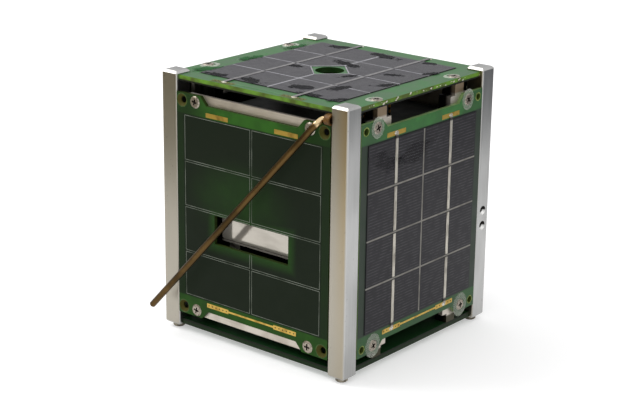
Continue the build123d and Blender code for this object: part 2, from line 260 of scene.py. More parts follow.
class Surface(Wiring):
    """A new material with its shader, patterns, place in millimetres and facing, in the object's frame."""

    def __init__(self, name: str, grains: list[Grain]) -> None:
        """Make the material, read its place and facing, and lay its patterns.

        Args:
            name: What the material is called.
            grains: The patterns' sizes.
        """
        self.material = bpy.data.materials.new(name)
        self.material.use_nodes = True
        super().__init__(self.material.node_tree)
        self.shader = self.tree.nodes["Principled BSDF"]
        where = self.put(Kind.COORDINATES).outputs
        self.place = self.put(Kind.ENLARGE, (where["Object"], 1 / MM))
        self.at = self.put(Kind.SPLIT, (self.place,)).outputs
        self.facing = self.put(Kind.SPLIT, (where["Normal"],)).outputs
        self.grains = []
        for size in grains:
            spread = self.put(Kind.SHRINK, (self.place, size))
            self.grains.append(self.put(Kind.NOISE, {"Vector": spread, "Scale": 1.0}))

    def wire(self, inputs: dict[str, Any]) -> None:
        """Fill the shader's own sockets by their names."""
        self.join(self.shader, inputs)


@dataclass(frozen=True)
class Finish:
    """One finish: what the surface is made of, and how it was made. Each of its grains becomes a pattern."""

    name: str
    # Nearly all of a soft pattern lies in this span.
    SPAN: ClassVar[Pair] = (0.3, 0.7)

    def paint(self, s: Surface) -> None:
        """Fill in the new material's shader; each finish has its own."""
        raise NotImplementedError

    def build(self) -> Material:
        """Make the material.

        Returns:
            The material, with a pattern for each of the finish's grains, in the order of its fields.
        """
        values = [getattr(self, field.name) for field in fields(self)]
        surface = Surface(self.name, [value for value in values if isinstance(value, Grain)])
        self.paint(surface)
        return surface.material


@dataclass(frozen=True)
class RailAluminium(Finish):
    """Extruded aluminium, satin anodised: a soft cool sheen with drawing lines along the rail."""

    pale: str = "#babab9"
    shade: str = "#a7a7a6"
    line: str = "#ccccca"
    # Painted shade and reflection for the faces towards -Y, low and high on the rail.
    front_low: str = "#a59f92"
    front_high: str = "#a19b8e"
    # Painted reflection of a tan surface on the front faces by the outer corner.
    tan: str = "#a18c62"
    nick: str = "#6c675f"
    # Painted shade and highlight inside the countersunk holes.
    sink_dark: str = "#1b1a19"
    sink_bright: str = "#f2f2f0"
    drawing: Grain = Grain(0.5, 0.5, 45.0)
    cloud: Grain = Grain(13.0, 13.0, 34.0)
    chip: Grain = Grain(1.3, 1.3, 2.2)
    band: Pair = (42.5, 49.4)
    rise: Pair = (4.0, 112.0)
    sink_middle: Pair = (45.75, 48.05)
    sink_reach: Pair = (2.5, 6.2)
    sink_from: float = 46.0
    sink_fade: float = 0.2
    front_turn: Pair = (-0.5, -0.9)
    front_share: float = 0.9
    flat_turn: Pair = (-0.95, -0.99)
    tan_shares: Pair = (0.2, 0.75)
    rough: Pair = (0.3, 0.38)
    relief: Pair = (0.02, 0.2)

    def paint(self, s: Surface) -> None:
        """Lay drawing lines, slow clouds, painted shade and reflection on the front faces, a painted tan
        reflection by the corner, and nicks.

        Args:
            s: The new material.
        """
        lines, clouds, chips = s.grains
        tone = s.put(Kind.BLEND, (s.put(Kind.RANGE, (clouds, 0.35, 0.7)), self.pale, self.shade))
        lined = s.put(Kind.BLEND, (s.put(Kind.RANGE, (lines, 0.45, 0.72, 0.0, 0.3)), tone, self.line))
        # Painted shade and reflection: the faces towards -Y turn warmer and darker, a little more so higher
        # up.
        front = s.put(Kind.RANGE, (s.facing["Y"], *self.front_turn))
        height = s.put(Kind.RANGE, (s.at["Z"], *self.rise))
        front_shading = s.put(Kind.BLEND, (height, self.front_low, self.front_high))
        warm = s.put(Kind.BLEND, (s.put(Kind.TIMES, (front, self.front_share)), lined, front_shading))
        # Painted reflection: a tan band on the front faces by the outer corner, stronger higher up.
        flat = s.put(Kind.RANGE, (s.facing["Y"], *self.flat_turn))
        edge = s.put(Kind.TIMES, (flat, s.put(Kind.RANGE, (s.at["X"], *self.band))))
        climb = s.put(Kind.RANGE, (s.at["Z"], *self.rise, *self.tan_shares))
        tan_reflected = s.put(Kind.BLEND, (s.put(Kind.TIMES, (edge, climb)), warm, self.tan))
        nicked = s.put(Kind.BLEND, (s.put(Kind.RANGE, (chips, 0.72, 0.78, 0.0, 0.55)), tan_reflected, self.nick))
        depth, strength = self.relief
        relief = s.put(Kind.BUMP, {"Height": lines, "Distance": depth * MM, "Strength": strength})
        s.wire({"Base Color": self.sink(s, nicked), "Metallic": 1.0, "Normal": relief})
        s.wire({"Roughness": s.put(Kind.RANGE, (lines, *self.SPAN, *self.rough))})

    def sink(self, s: Surface, skin: Node) -> Node:
        """Paint shade on the upper walls of the countersunk holes and a highlight on the lower ones.

        Args:
            s: The new material.
            skin: The colour of the rail's skin.

        Returns:
            The colour of the skin and the holes.
        """
        limits = [(s.at["X"], self.sink_from, self.sink_from + self.sink_fade)]
        for axis, middle, reach in zip("YZ", self.sink_middle, self.sink_reach):
            away = s.put(Kind.SIZE, (s.put(Kind.MINUS, (s.at[axis], middle)),))
            limits.append((away, reach + self.sink_fade, reach))
        sunk = s.put(Kind.RANGE, (s.facing["X"], 0.95, 0.9))
        for limit in limits:
            sunk = s.put(Kind.TIMES, (sunk, s.put(Kind.RANGE, limit)))
        upward = s.put(Kind.RANGE, (s.facing["Z"], -0.1, 0.35))
        cone = s.put(Kind.BLEND, (upward, self.sink_dark, self.sink_bright))
        return s.put(Kind.BLEND, (sunk, skin, cone))


@dataclass(frozen=True)
class MillAluminium(Finish):
    """Rolled aluminium as it left the mill: pale and slightly warm, with a soft rolled grain, painted shade
    inside.
    """

    colour: str = "#d2cabf"
    shade: str = "#a89d8f"
    # Painted shade deep inside the frame.
    inner: str = "#1f1d1a"
    post: str = "#9c8870"
    low_post: str = "#464232"
    roll: Grain = Grain(18.0, 18.0, 0.6)
    stain: Grain = Grain(9.0, 9.0, 9.0)
    mouth: Pair = (47.4, 45.6)
    middle: float = 58.0
    post_from: float = 200.0
    post_fade: float = 1.0
    post_climb: Pair = (20.0, 80.0)
    metal: float = 0.85
    rough: Pair = (0.36, 0.5)
    relief: Pair = (0.015, 0.3)

    def paint(self, s: Surface) -> None:
        """Lay rolling streaks and stains, tan posts past the boards' ends, darker low, and painted shade
        inside.

        Args:
            s: The new material.
        """
        streaks, stains = s.grains
        tone = s.put(Kind.BLEND, (s.put(Kind.RANGE, (stains, 0.4, 0.8, 0.0, 0.6)), self.colour, self.shade))
        rolled = s.put(Kind.BLEND, (s.put(Kind.RANGE, (streaks, 0.45, 0.7, 0.0, 0.25)), tone, self.shade))
        height = s.put(Kind.SIZE, (s.put(Kind.MINUS, (s.at["Z"], self.middle)),))
        past = s.put(Kind.RANGE, (height, self.post_from, self.post_from + self.post_fade))
        climb = s.put(Kind.RANGE, (s.at["Z"], *self.post_climb))
        posts = s.put(Kind.BLEND, (past, rolled, s.put(Kind.BLEND, (climb, self.low_post, self.post))))
        sides = [s.put(Kind.SIZE, (s.at[axis],)) for axis in "XY"]
        # Painted shade: darker deep inside the frame, away from the boards.
        deep = s.put(Kind.RANGE, (s.put(Kind.MOST, tuple(sides)), *self.mouth))
        depth, strength = self.relief
        relief = s.put(Kind.BUMP, {"Height": streaks, "Distance": depth * MM, "Strength": strength})
        whole = s.put(Kind.BLEND, (deep, posts, self.inner))
        s.wire({"Base Color": whole, "Metallic": self.metal, "Normal": relief})
        s.wire({"Roughness": s.put(Kind.RANGE, (stains, *self.SPAN, *self.rough))})


@dataclass(frozen=True)
class BoardMask(Finish):
    """Green solder mask on glass-fibre laminate: near black over copper, bright green where there is none."""

    side: Side = Side.FRONT
    middle: float = 0.0
    face: float = 50.0
    field: Pair = (37.0, 39.8)
    port: Size = (0.0, 0.0, 0.0)
    spare: Pair = (38.4, 45.9)
    copper: str = "#1b2318"
    bare: str = "#376823"
    # Each board sets its own edge colour: painted light and shade on the same sawn laminate.
    edge: str = "#2c3a16"
    edge_shade: str = "#2c3a16"
    core: str = "#10160c"
    core_from: float = 9.0
    core_fade: float = 0.3
    # Painted shade on the board's inner face.
    inner: str = "#0d140b"
    plated: str = "#4d4a20"
    bore: Pair = (3.2, 2.8)
    margin: float = 0.08
    margin_fade: float = 1.2
    over: float = 0.72
    over_ends: float = 0.3
    under: float = 0.5
    fade: Pair = (0.1, 1.0)
    glow: float = 0.0
    spread: float = 5.0
    haze: float = 0.0
    haze_middle: Size = (-6.0, -50.0, 66.0)
    haze_reach: Size = (34.0, 10.0, 20.0)
    mottle: Grain = Grain(8.0, 8.0, 8.0)
    gloss: float = 0.06
    roughness: float = 0.45
    roughness_more: float = 0.1
    turned: Pair = (0.8, 0.9)

    def paint(self, s: Surface) -> None:
        """Lay copper under the cells, bare laminate round it and at the port, edges, and painted shade on the
        inner face.

        Args:
            s: The new material.
        """
        (clouds,) = s.grains
        letters = self.side.axes
        across = s.put(Kind.SIZE, (s.at[letters[0]],))
        rise = s.put(Kind.MINUS, (s.at[letters[1]], self.middle))
        outward = s.put(Kind.TIMES, (s.facing[letters[2]], sum(self.side.out)))
        bright = self.brightness(s, across, rise)
        lit = s.put(Kind.TIMES, (bright, s.put(Kind.RANGE, (clouds, *self.SPAN, 0.75, 1.15))))
        masked = s.put(Kind.BLEND, (lit, self.copper, self.bare))
        deep = s.put(Kind.SIZE, (s.put(Kind.MINUS, (s.at[letters[2]], self.face)),))
        cut = s.put(Kind.BLEND, (s.put(Kind.RANGE, (clouds, 0.4, 0.6)), self.edge, self.edge_shade))
        # The sawn edge turns darker beyond core_from from the board's face.
        inmost = s.put(Kind.RANGE, (deep, self.core_from, self.core_from + self.core_fade))
        sawn = s.put(Kind.BLEND, (inmost, cut, self.core))
        beside = s.put(Kind.MINUS, (across, self.spare[0]))
        above = s.put(Kind.MINUS, (s.put(Kind.SIZE, (rise,)), self.spare[1]))
        from_hole = s.put(Kind.LENGTH, (s.put(Kind.VECTOR, (beside, above)),))
        walls = s.put(Kind.BLEND, (s.put(Kind.RANGE, (from_hole, *self.bore)), sawn, self.plated))
        # Painted shade on the face that looks into the frame.
        inward = s.put(Kind.TIMES, (outward, -1.0))
        inward_shaded = s.put(Kind.BLEND, (s.put(Kind.RANGE, (inward, *self.turned)), walls, self.inner))
        whole = s.put(Kind.BLEND, (s.put(Kind.RANGE, (outward, *self.turned)), inward_shaded, masked))
        s.wire({"Base Color": whole, "Specular IOR Level": self.gloss})
        roughest = self.roughness + self.roughness_more
        s.wire({"Roughness": s.put(Kind.RANGE, (clouds, *self.SPAN, self.roughness, roughest))})

    def brightness(self, s: Surface, across: Node, rise: Node) -> Node:
        """Find how much bare laminate shows through the mask.

        Args:
            s: The new material.
            across: The distance from the board's middle line.
            rise: The height over the board's middle.

        Returns:
            The share, from none over copper to one.
        """
        half_across, half_up = self.field
        port_across, port_rise, port_up = self.port
        near, far = self.fade
        from_port = s.put(Kind.SIZE, (s.put(Kind.MINUS, (rise, port_rise)),))
        beside = s.put(Kind.MINUS, (across, port_across))
        away = s.put(Kind.MOST, (beside, s.put(Kind.MINUS, (from_port, port_up))))
        haze = s.put(Kind.SHRINK, (s.put(Kind.SHIFT, (s.place, self.haze_middle)), self.haze_reach))
        band = s.put(Kind.RANGE, (rise, half_up + near, half_up + far, 0.0, self.over))
        ends = s.put(Kind.RANGE, (across, 0.5 * half_across, half_across, 1.0, self.over_ends))
        bright = s.put(Kind.TIMES, (band, ends))
        for limits in (
            (across, half_across, half_across + self.margin_fade, 0.0, self.margin),
            (rise, -half_up - near, -half_up - far, 0.0, self.under),
            (away, self.spread, 0.0, 0.0, self.glow),
            (s.put(Kind.LENGTH, (haze,)), 1.0, 0.1, 0.0, self.haze),
        ):
            bright = s.put(Kind.MOST, (bright, s.put(Kind.RANGE, limits)))
        return bright


@dataclass(frozen=True)
class TarnishedBrass(Finish):
    """Drawn brass rod gone brown in the air, with a painted highlight on the short bend by its root."""

    brown: str = "#5e492a"
    dark: str = "#44341c"
    # Painted highlight on the bend by the root.
    bright: str = "#d9c096"
    patch: Grain = Grain(9.0, 9.0, 9.0)
    bend: Size = (37.3, -51.8, 108.3)
    rub: Pair = (3.0, 2.0)
    rough: Pair = (0.4, 0.16)

    def paint(self, s: Surface) -> None:
        """Lay brown tarnish in slow patches, and a painted highlight with lower roughness round the bend.

        Args:
            s: The new material.
        """
        (patches,) = s.grains
        reach = s.put(Kind.LENGTH, (s.put(Kind.SHIFT, (s.place, self.bend)),))
        bend_highlight = s.put(Kind.RANGE, (reach, *self.rub))
        tarnish = s.put(Kind.BLEND, (s.put(Kind.RANGE, (patches, 0.35, 0.7)), self.brown, self.dark))
        s.wire({"Base Color": s.put(Kind.BLEND, (bend_highlight, tarnish, self.bright)), "Metallic": 1.0})
        s.wire({"Roughness": s.put(Kind.RANGE, (reach, *self.rub, *self.rough))})


@dataclass(frozen=True)
class Mottled(Finish):
    """Two colours mixed by a soft pattern: the last grain mixes them, the first sets roughness and relief."""

    colour: str = "#808080"
    shade: str = "#606060"
    grain: Grain = Grain(1.0, 1.0, 1.0)
    change: Pair = (0.4, 0.7)
    metal: float = 0.0
    gloss: float = 0.5
    rough: Pair = (0.4, 0.6)
    # The relief's depth and strength.
    relief: Pair = (0.0, 0.0)

    def paint(self, s: Surface) -> None:
        """Mix the colours, set roughness and relief, and add what the finish has over them.

        Args:
            s: The new material.
        """
        fine, slow = s.grains[0], s.grains[-1]
        tone = s.put(Kind.BLEND, (s.put(Kind.RANGE, (slow, *self.change)), self.colour, self.shade))
        looks = {"Base Color": tone, "Metallic": self.metal, "Specular IOR Level": self.gloss}
        looks["Roughness"] = s.put(Kind.RANGE, (fine, *self.SPAN, *self.rough))
        depth, strength = self.relief
        if depth > 0.0:
            looks["Normal"] = s.put(Kind.BUMP, {"Height": fine, "Distance": depth * MM, "Strength": strength})
        s.wire({**looks, **self.cover_with(s, tone)})

    def cover_with(self, s: Surface, tone: Node) -> dict[str, Any]:
        """Give the shader's inputs that lie over the mixed colours; a plain finish has none."""
        return {}


@dataclass(frozen=True)
class TurnedSteel(Mottled):
    """Steel off a lathe, darkened and oily: tight rings of highlight, drawn coarser so that they show."""

    colour: str = "#97907f"
    shade: str = "#4b463d"
    grain: Grain = Grain(6.0, 6.0, 0.2)
    oil: Grain = Grain(2.5, 2.5, 2.5)
    change: Pair = (0.35, 0.7)
    metal: float = 1.0
    rough: Pair = (0.28, 0.42)
    relief: Pair = (0.02, 0.4)


@dataclass(frozen=True)
class ScrewSteel(Mottled):
    """Stainless machine screw: a worn rim that catches the light and painted shade in the cross recess."""

    colour: str = "#a89f92"
    shade: str = "#6f665a"
    grain: Grain = Grain(0.7, 0.7, 0.7)
    metal: float = 0.85
    rough: Pair = (0.26, 0.44)
    # Painted shade for the cross recess.
    grime: str = "#22130c"

    def cover_with(self, s: Surface, tone: Node) -> dict[str, Any]:
        """Lay painted shade over the scuffed metal where the screw's tree marks the cross."""
        mark = s.put(Kind.ATTRIBUTE, attribute_name=Mark.RECESS.value).outputs["Fac"]
        return {"Base Color": s.put(Kind.BLEND, (mark, tone, self.grime))}


@dataclass(frozen=True)
class CoatedCell(Mottled):
    """Silicon solar cell under a dark coating: smooth violet-grey with faint slow clouds."""

    colour: str = "#1b1a1e"
    shade: str = "#232226"
    grain: Grain = Grain(11.0, 11.0, 11.0)
    change: Pair = (0.3, 0.7)
    gloss: float = 0.2
    rough: Pair = (0.32, 0.42)


@dataclass(frozen=True)
class CellSilver(Mottled):
    """Screen-printed silver paste, fired on the cell: fine dull grey lines, dimmer where it is thin."""

    colour: str = "#4b494e"
    shade: str = "#343238"
    grain: Grain = Grain(3.0, 3.0, 3.0)
    change: Pair = (0.35, 0.7)
    metal: float = 0.3
    gloss: float = 0.2
    rough: Pair = (0.45, 0.6)


@dataclass(frozen=True)
class TinnedRibbon(Mottled):
    """Flat copper ribbon dipped in solder: a wavy grey shine, with painted shade in the dips between cells.
    """

    colour: str = "#c2bdb2"
    shade: str = "#99948a"
    grain: Grain = Grain(1.8, 1.8, 5.0)
    change: Pair = (0.4, 0.75)
    metal: float = 0.75
    rough: Pair = (0.36, 0.52)
    relief: Pair = (0.06, 0.4)
    side: Side = Side.RIGHT
    middle: float = 0.0
    pitch: float = 20.075
    # Painted shade in the dips.
    dip: str = "#2c2a28"
    pinch: Pair = (1.0, 0.4)
    pinch_depth: float = 0.9

    def cover_with(self, s: Surface, tone: Node) -> dict[str, Any]:
        """Lay painted shade in the dip at each gap between rows of cells.

        Args:
            s: The new material.
            tone: The bright tin with its dull patches.

        Returns:
            The colour with the painted shade in the dips.
        """
        rise = s.put(Kind.MINUS, (s.at[self.side.axes[1]], self.middle))
        near = s.put(Kind.SIZE, (s.put(Kind.WRAP, (rise, self.pitch / 2, -self.pitch / 2)),))
        dip_shading = s.put(Kind.RANGE, (near, *self.pinch, 0.0, self.pinch_depth))
        return {"Base Color": s.put(Kind.BLEND, (dip_shading, tone, self.dip))}


@dataclass(frozen=True)
class GoldPlate(Mottled):
    """Immersion gold over nickel: a dull warm yellow with a slight pebble and darker handling marks."""

    colour: str = "#bb9c48"
    shade: str = "#937735"
    grain: Grain = Grain(0.7, 0.7, 0.7)
    handling: Grain = Grain(3.5, 3.5, 3.5)
    change: Pair = (0.45, 0.75)
    metal: float = 0.85
    rough: Pair = (0.4, 0.54)
    relief: Pair = (0.02, 0.4)
    band: float = 0.0
    groove: str = "#1c1208"
    groove_shares: Pair = (0.3, 0.2)

    def cover_with(self, s: Surface, tone: Node) -> dict[str, Any]:
        """Lay dark bands up the piece where it has them.

        Args:
            s: The new material.
            tone: The dull gold with its marks.

        Returns:
            The colour with the bands, or nothing.
        """
        if not self.band:
            return {}
        step = s.put(Kind.SIZE, (s.put(Kind.WRAP, (s.at["Z"], self.band / 2, -self.band / 2)),))
        far, near = (share * self.band for share in self.groove_shares)
        return {"Base Color": s.put(Kind.BLEND, (s.put(Kind.RANGE, (step, far, near)), tone, self.groove))}


@dataclass(frozen=True)
class PrintInk(Mottled):
    """Screen-printed ink on the mask: thin, matt, and grey where it is worn."""

    colour: str = "#7f857a"
    shade: str = "#565c51"
    grain: Grain = Grain(6.0, 6.0, 6.0)
    gloss: float = 0.15
    rough: Pair = (0.6, 0.75)


@dataclass(frozen=True)
class StakingResin(Mottled):
    """Clear epoxy that locks a screw: a milky film, whiter where it is thick, with a soft gloss."""

    colour: str = "#ccd0c4"
    shade: str = "#a3ad9b"
    grain: Grain = Grain(4.5, 4.5, 4.5)
    rough: Pair = (0.4, 0.4)
    cover: Pair = (0.25, 0.5)

    def cover_with(self, s: Surface, tone: Node) -> dict[str, Any]:
        """Let the film's cover wander, with none over the screw's head.

        Args:
            s: The new material.
            tone: Not used.

        Returns:
            The film's cover.
        """
        clear = s.put(Kind.ATTRIBUTE, attribute_name=Mark.CLEAR.value).outputs["Fac"]
        film = s.put(Kind.RANGE, (s.grains[0], 0.35, 0.75, *self.cover))
        return {"Alpha": s.put(Kind.TIMES, (film, s.put(Kind.MINUS, (1.0, clear))))}


@dataclass(frozen=True)
class HandlingFilm(Mottled):
    """A dull dark film: it fades out to a ragged rim."""

    colour: str = "#0e0e11"
    shade: str = "#1a1a1e"
    grain: Grain = Grain(4.0, 4.0, 4.0)
    change: Pair = (0.3, 0.7)
    gloss: float = 0.1
    rough: Pair = (0.6, 0.6)
    cover: float = 0.85
    tear: float = 0.3

    def cover_with(self, s: Surface, tone: Node) -> dict[str, Any]:
        """Lay the film as deep as its tree's mark and a ragged pattern allow.

        Args:
            s: The new material.
            tone: Not used.

        Returns:
            The film's cover.
        """
        depth = s.put(Kind.ATTRIBUTE, attribute_name=Mark.COVER.value).outputs["Fac"]
        ragged = s.put(Kind.RANGE, (s.grains[0], 0.25, 0.75, -self.tear, self.tear))
        torn = s.put(Kind.PLUS, (depth, ragged))
        return {"Alpha": s.put(Kind.RANGE, (torn, 0.25, 0.55, 0.0, self.cover))}


@dataclass(frozen=True)
class BareLaminate(Mottled):
    """Glass-fibre laminate with no mask: yellow-green, waxy, with paler fibres."""

    colour: str = "#9aa653"
    shade: str = "#5f7031"
    grain: Grain = Grain(0.7, 0.7, 0.7)
    change: Pair = (0.35, 0.7)
    gloss: float = 0.25
    rough: Pair = (0.4, 0.55)


@dataclass(frozen=True)
class Solder(Mottled):
    """Tin-lead solder, hand laid: bright grey-white beads with dull spots of flux in their hollows."""

    colour: str = "#d9d5ca"
    shade: str = "#9a8456"
    grain: Grain = Grain(0.9, 0.9, 0.9)
    change: Pair = (0.5, 0.75)
    metal: float = 0.7
    rough: Pair = (0.24, 0.45)


@dataclass(frozen=True)
class BrownLaminate(Mottled):
    """Paper-and-resin laminate, sawn to size: dark brown with paler layers along its length."""

    colour: str = "#553913"
    shade: str = "#755020"
    grain: Grain = Grain(0.6, 6.0, 1.2)
    change: Pair = (0.4, 0.65)
    gloss: float = 0.3


@dataclass(frozen=True)
class BatteryFoil(Mottled):
    """Satin aluminium skin drawn over cells: an even pale sheen on its face, painted shade on the sides
    within.
    """

    colour: str = "#c4beb3"
    shade: str = "#b3ada2"
    grain: Grain = Grain(16.0, 16.0, 5.0)
    change: Pair = (0.4, 0.75)
    metal: float = 0.55
    rough: Pair = (0.1, 0.14)
    relief: Pair = (0.2, 0.06)
    # Painted shade for the box's sides within the frame.
    inner: str = "#171614"

    def cover_with(self, s: Surface, tone: Node) -> dict[str, Any]:
        """Keep the creased sheen to the front, and lay painted shade on the rest."""
        front = s.put(Kind.RANGE, (s.facing["Y"], -0.7, -0.9))
        return {"Base Color": s.put(Kind.BLEND, (front, self.inner, tone))}


@dataclass(frozen=True)
class MouldedBlack(Mottled):
    """Black glass-filled nylon, moulded: matt with a fine pebble."""

    colour: str = "#121212"
    shade: str = "#1f1f1f"
    grain: Grain = Grain(0.5, 0.5, 0.5)
    gloss: float = 0.2
    rough: Pair = (0.5, 0.65)


class Growth(Wiring):
    """A Geometry Nodes tree with named inputs, run once on a seat mesh to leave a plain mesh."""

    name: ClassVar[str]
    inputs: ClassVar[dict[str, str]]
    FACING: ClassVar[str] = "facing"
    ALONG: ClassVar[str] = "along"
    SCALE: ClassVar[str] = "size"

    def __init__(self) -> None:
        """Build the tree: the sub-class's shape, then Realize Instances and Set Material."""
        super().__init__(bpy.data.node_groups.new(self.name, "GeometryNodeTree"))
        self.tree.is_modifier = True
        interface = self.tree.interface
        interface.new_socket("Geometry", in_out="INPUT", socket_type="NodeSocketGeometry")
        kinds = {**self.inputs, "Material": "NodeSocketMaterial"}
        self.sockets = {n: interface.new_socket(n, in_out="INPUT", socket_type=k) for n, k in kinds.items()}
        interface.new_socket("Geometry", in_out="OUTPUT", socket_type="NodeSocketGeometry")
        self.start = self.put(Kind.START).outputs
        real = self.put(Kind.REAL, (self.grow(),))
        self.put(Kind.END, (self.put(Kind.PAINTED, {"Geometry": real, "Material": self.start["Material"]}),))

    def grow(self) -> Node:
        """Add the nodes of the shape, and give the last of them; each tree has its own."""
        raise NotImplementedError

    def seat(self, shape: Node, spin: Any = None, mixed: Any = 1.0) -> Node:
        """Set a copy of the shape on each seat, turned to the seat's facing and scaled to its size.

        Args:
            shape: The node that gives the shape, with +Z outwards and +X along.
            spin: A turn about the seat's facing, in radians, or none.
            mixed: A further scale of each copy.

        Returns:
            The node that gives the copies.
        """
        facing, along, size = (
            self.put(Kind.NAMED, {"Name": label}) for label in (self.FACING, self.ALONG, self.SCALE)
        )
        outward = self.put(Kind.FACE_OUT, {"Vector": facing})
        turned = self.put(Kind.TURN_ALONG, {"Rotation": outward, "Vector": along})
        if spin is not None:
            turn = self.put(Kind.EULER, (self.put(Kind.VECTOR, {"Z": spin}),))
            turned = self.put(Kind.SPIN, {"Rotation": turned, "Rotate By": turn})
        scale = self.put(Kind.ENLARGE, (size, mixed))
        places = {"Points": self.start["Geometry"], "Instance": shape, "Rotation": turned, "Scale": scale}
        return self.put(Kind.COPIES, places)

    def run(
        self, name: str, seats: Mesh, finish: Material, **sizes: Any
    ) -> Object:
        """Run the tree once and keep its result as a plain mesh.

        Args:
            name: The piece's name.
            seats: The mesh that the tree starts from.
            finish: The piece's material.
            sizes: The tree's inputs, with underscores for spaces; floats are in millimetres.

        Returns:
            The piece's object.
        """
        piece = bpy.data.objects.new(name, seats)
        bpy.context.scene.collection.objects.link(piece)
        modifier = piece.modifiers.new(self.name, "NODES")
        modifier.node_group = self.tree
        for label, value in sizes.items():
            socket = self.sockets[label.replace("_", " ").capitalize()]
            metric = socket.socket_type == "NodeSocketFloat"
            modifier[socket.identifier] = value * MM if metric else value
        modifier[self.sockets["Material"].identifier] = finish
        evaluated = piece.evaluated_get(bpy.context.evaluated_depsgraph_get())
        plain = bpy.data.meshes.new_from_object(evaluated)
        piece.modifiers.clear()
        piece.data = plain
        return piece


FLOAT = "NodeSocketFloat"
COUNT = "NodeSocketInt"
FLAG = "NodeSocketBool"


class Plates(Growth):
    """Thin plates with rounded corners, one on each seat."""

    name = "plates"
    inputs = {"Length": FLOAT, "Width": FLOAT, "Thickness": FLOAT, "Corner": FLOAT}
    STEPS: ClassVar[int] = 3
    WELD: ClassVar[float] = 1e-6

    def grow(self) -> Node:
        """Fill a rounded rectangle, give it a thickness and set it on the seats.

        Returns:
            The node that gives the plates.
        """
        start = self.start
        outline = self.put(Kind.OUTLINE, {"Width": start["Length"], "Height": start["Width"]})
        corner = {"Curve": outline, "Count": self.STEPS, "Radius": start["Corner"], "Limit Radius": True}
        flat = self.put(Kind.FILLED, {"Curve": self.put(Kind.ROUNDED, corner)})
        lid = self.put(Kind.RAISED, {"Mesh": flat, "Offset Scale": start["Thickness"], "Individual": False})
        floor = self.put(Kind.FLIPPED, {"Mesh": flat})
        shell = self.put(Kind.TOGETHER, ([lid, floor],))
        return self.seat(self.put(Kind.WELDED, {"Geometry": shell, "Distance": self.WELD}))


class Screws(Growth):
    """Cross-recessed screw heads, one on each seat, each turned its own way."""

    name = "screws"
    inputs = {
        **dict.fromkeys(("Head", "Crown", "Rise", "Recess length", "Recess width", "Recess depth"), FLOAT),
        "Seed": COUNT,
    }
    SIDES: ClassVar[int] = 28
    CROSS_REACH: ClassVar[float] = 0.52
    CROSS_BELOW: ClassVar[float] = 0.98

    def grow(self) -> Node:
        """Cut a cross into a low cone on a shank, mark the cut faces, and set copies on the seats.

        Returns:
            The node that gives the screws.
        """
        start = self.start
        rim, crown = (self.put(Kind.TIMES, (start[label], 0.5)) for label in ("Head", "Crown"))
        deep = self.put(Kind.PLUS, (start["Rise"], start["Recess depth"]))
        slope = {"Vertices": self.SIDES, "Radius Top": crown, "Radius Bottom": rim, "Depth": start["Rise"]}
        cap = self.put(Kind.CONE, slope)
        shank = self.put(Kind.CYLINDER, {"Vertices": self.SIDES, "Radius": rim, "Depth": deep})
        down = self.put(Kind.VECTOR, {"Z": self.put(Kind.TIMES, (deep, -0.5))})
        sunk = self.put(Kind.MOVED, {"Geometry": shank, "Translation": down})
        solid = self.put(Kind.FUSED, ([cap, sunk],))
        twice = self.put(Kind.TIMES, (start["Recess depth"], 2.0))
        lifted = self.put(Kind.VECTOR, {"Z": start["Rise"]})
        long, wide = start["Recess length"], start["Recess width"]
        bars = []
        for x, y in ((long, wide), (wide, long)):
            bar = self.put(Kind.CUBE, {"Size": self.put(Kind.VECTOR, (x, y, twice))})
            bars.append(self.put(Kind.MOVED, {"Geometry": bar, "Translation": lifted}))
        head = self.put(Kind.CUT, (solid, self.put(Kind.FUSED, (bars,))))
        spot = self.put(Kind.SPLIT, (self.put(Kind.SPOT),)).outputs
        out = self.put(Kind.LENGTH, (self.put(Kind.VECTOR, (spot["X"], spot["Y"])),))
        inside = self.put(Kind.BELOW, (out, self.put(Kind.TIMES, (long, self.CROSS_REACH))))
        below = self.put(Kind.BELOW, (spot["Z"], self.put(Kind.TIMES, (start["Rise"], self.CROSS_BELOW))))
        mark = {"Geometry": head, "Name": Mark.RECESS.value, "Value": self.put(Kind.TIMES, (inside, below))}
        marked = self.put(Kind.MARKED, mark, domain="FACE")
        turns = self.put(Kind.MIXED, {"Min": 0.0, "Max": math.pi / 2, "Seed": start["Seed"]})
        return self.seat(marked, spin=turns)


class Rings(Growth):
    """Flat rings, one on each seat."""

    name = "rings"
    inputs = {"Outside": FLOAT, "Inside": FLOAT, "Thickness": FLOAT}
    SIDES: ClassVar[int] = 36

    def grow(self) -> Node:
        """Bore a disc and set it on the seats.

        Returns:
            The node that gives the rings.
        """
        solids = []
        for size, tall in (("Outside", 1.0), ("Inside", 3.0)):
            radius = self.put(Kind.TIMES, (self.start[size], 0.5))
            depth = self.put(Kind.TIMES, (self.start["Thickness"], tall))
            solids.append(self.put(Kind.CYLINDER, {"Vertices": self.SIDES, "Radius": radius, "Depth": depth}))
        return self.seat(self.put(Kind.CUT, tuple(solids)))


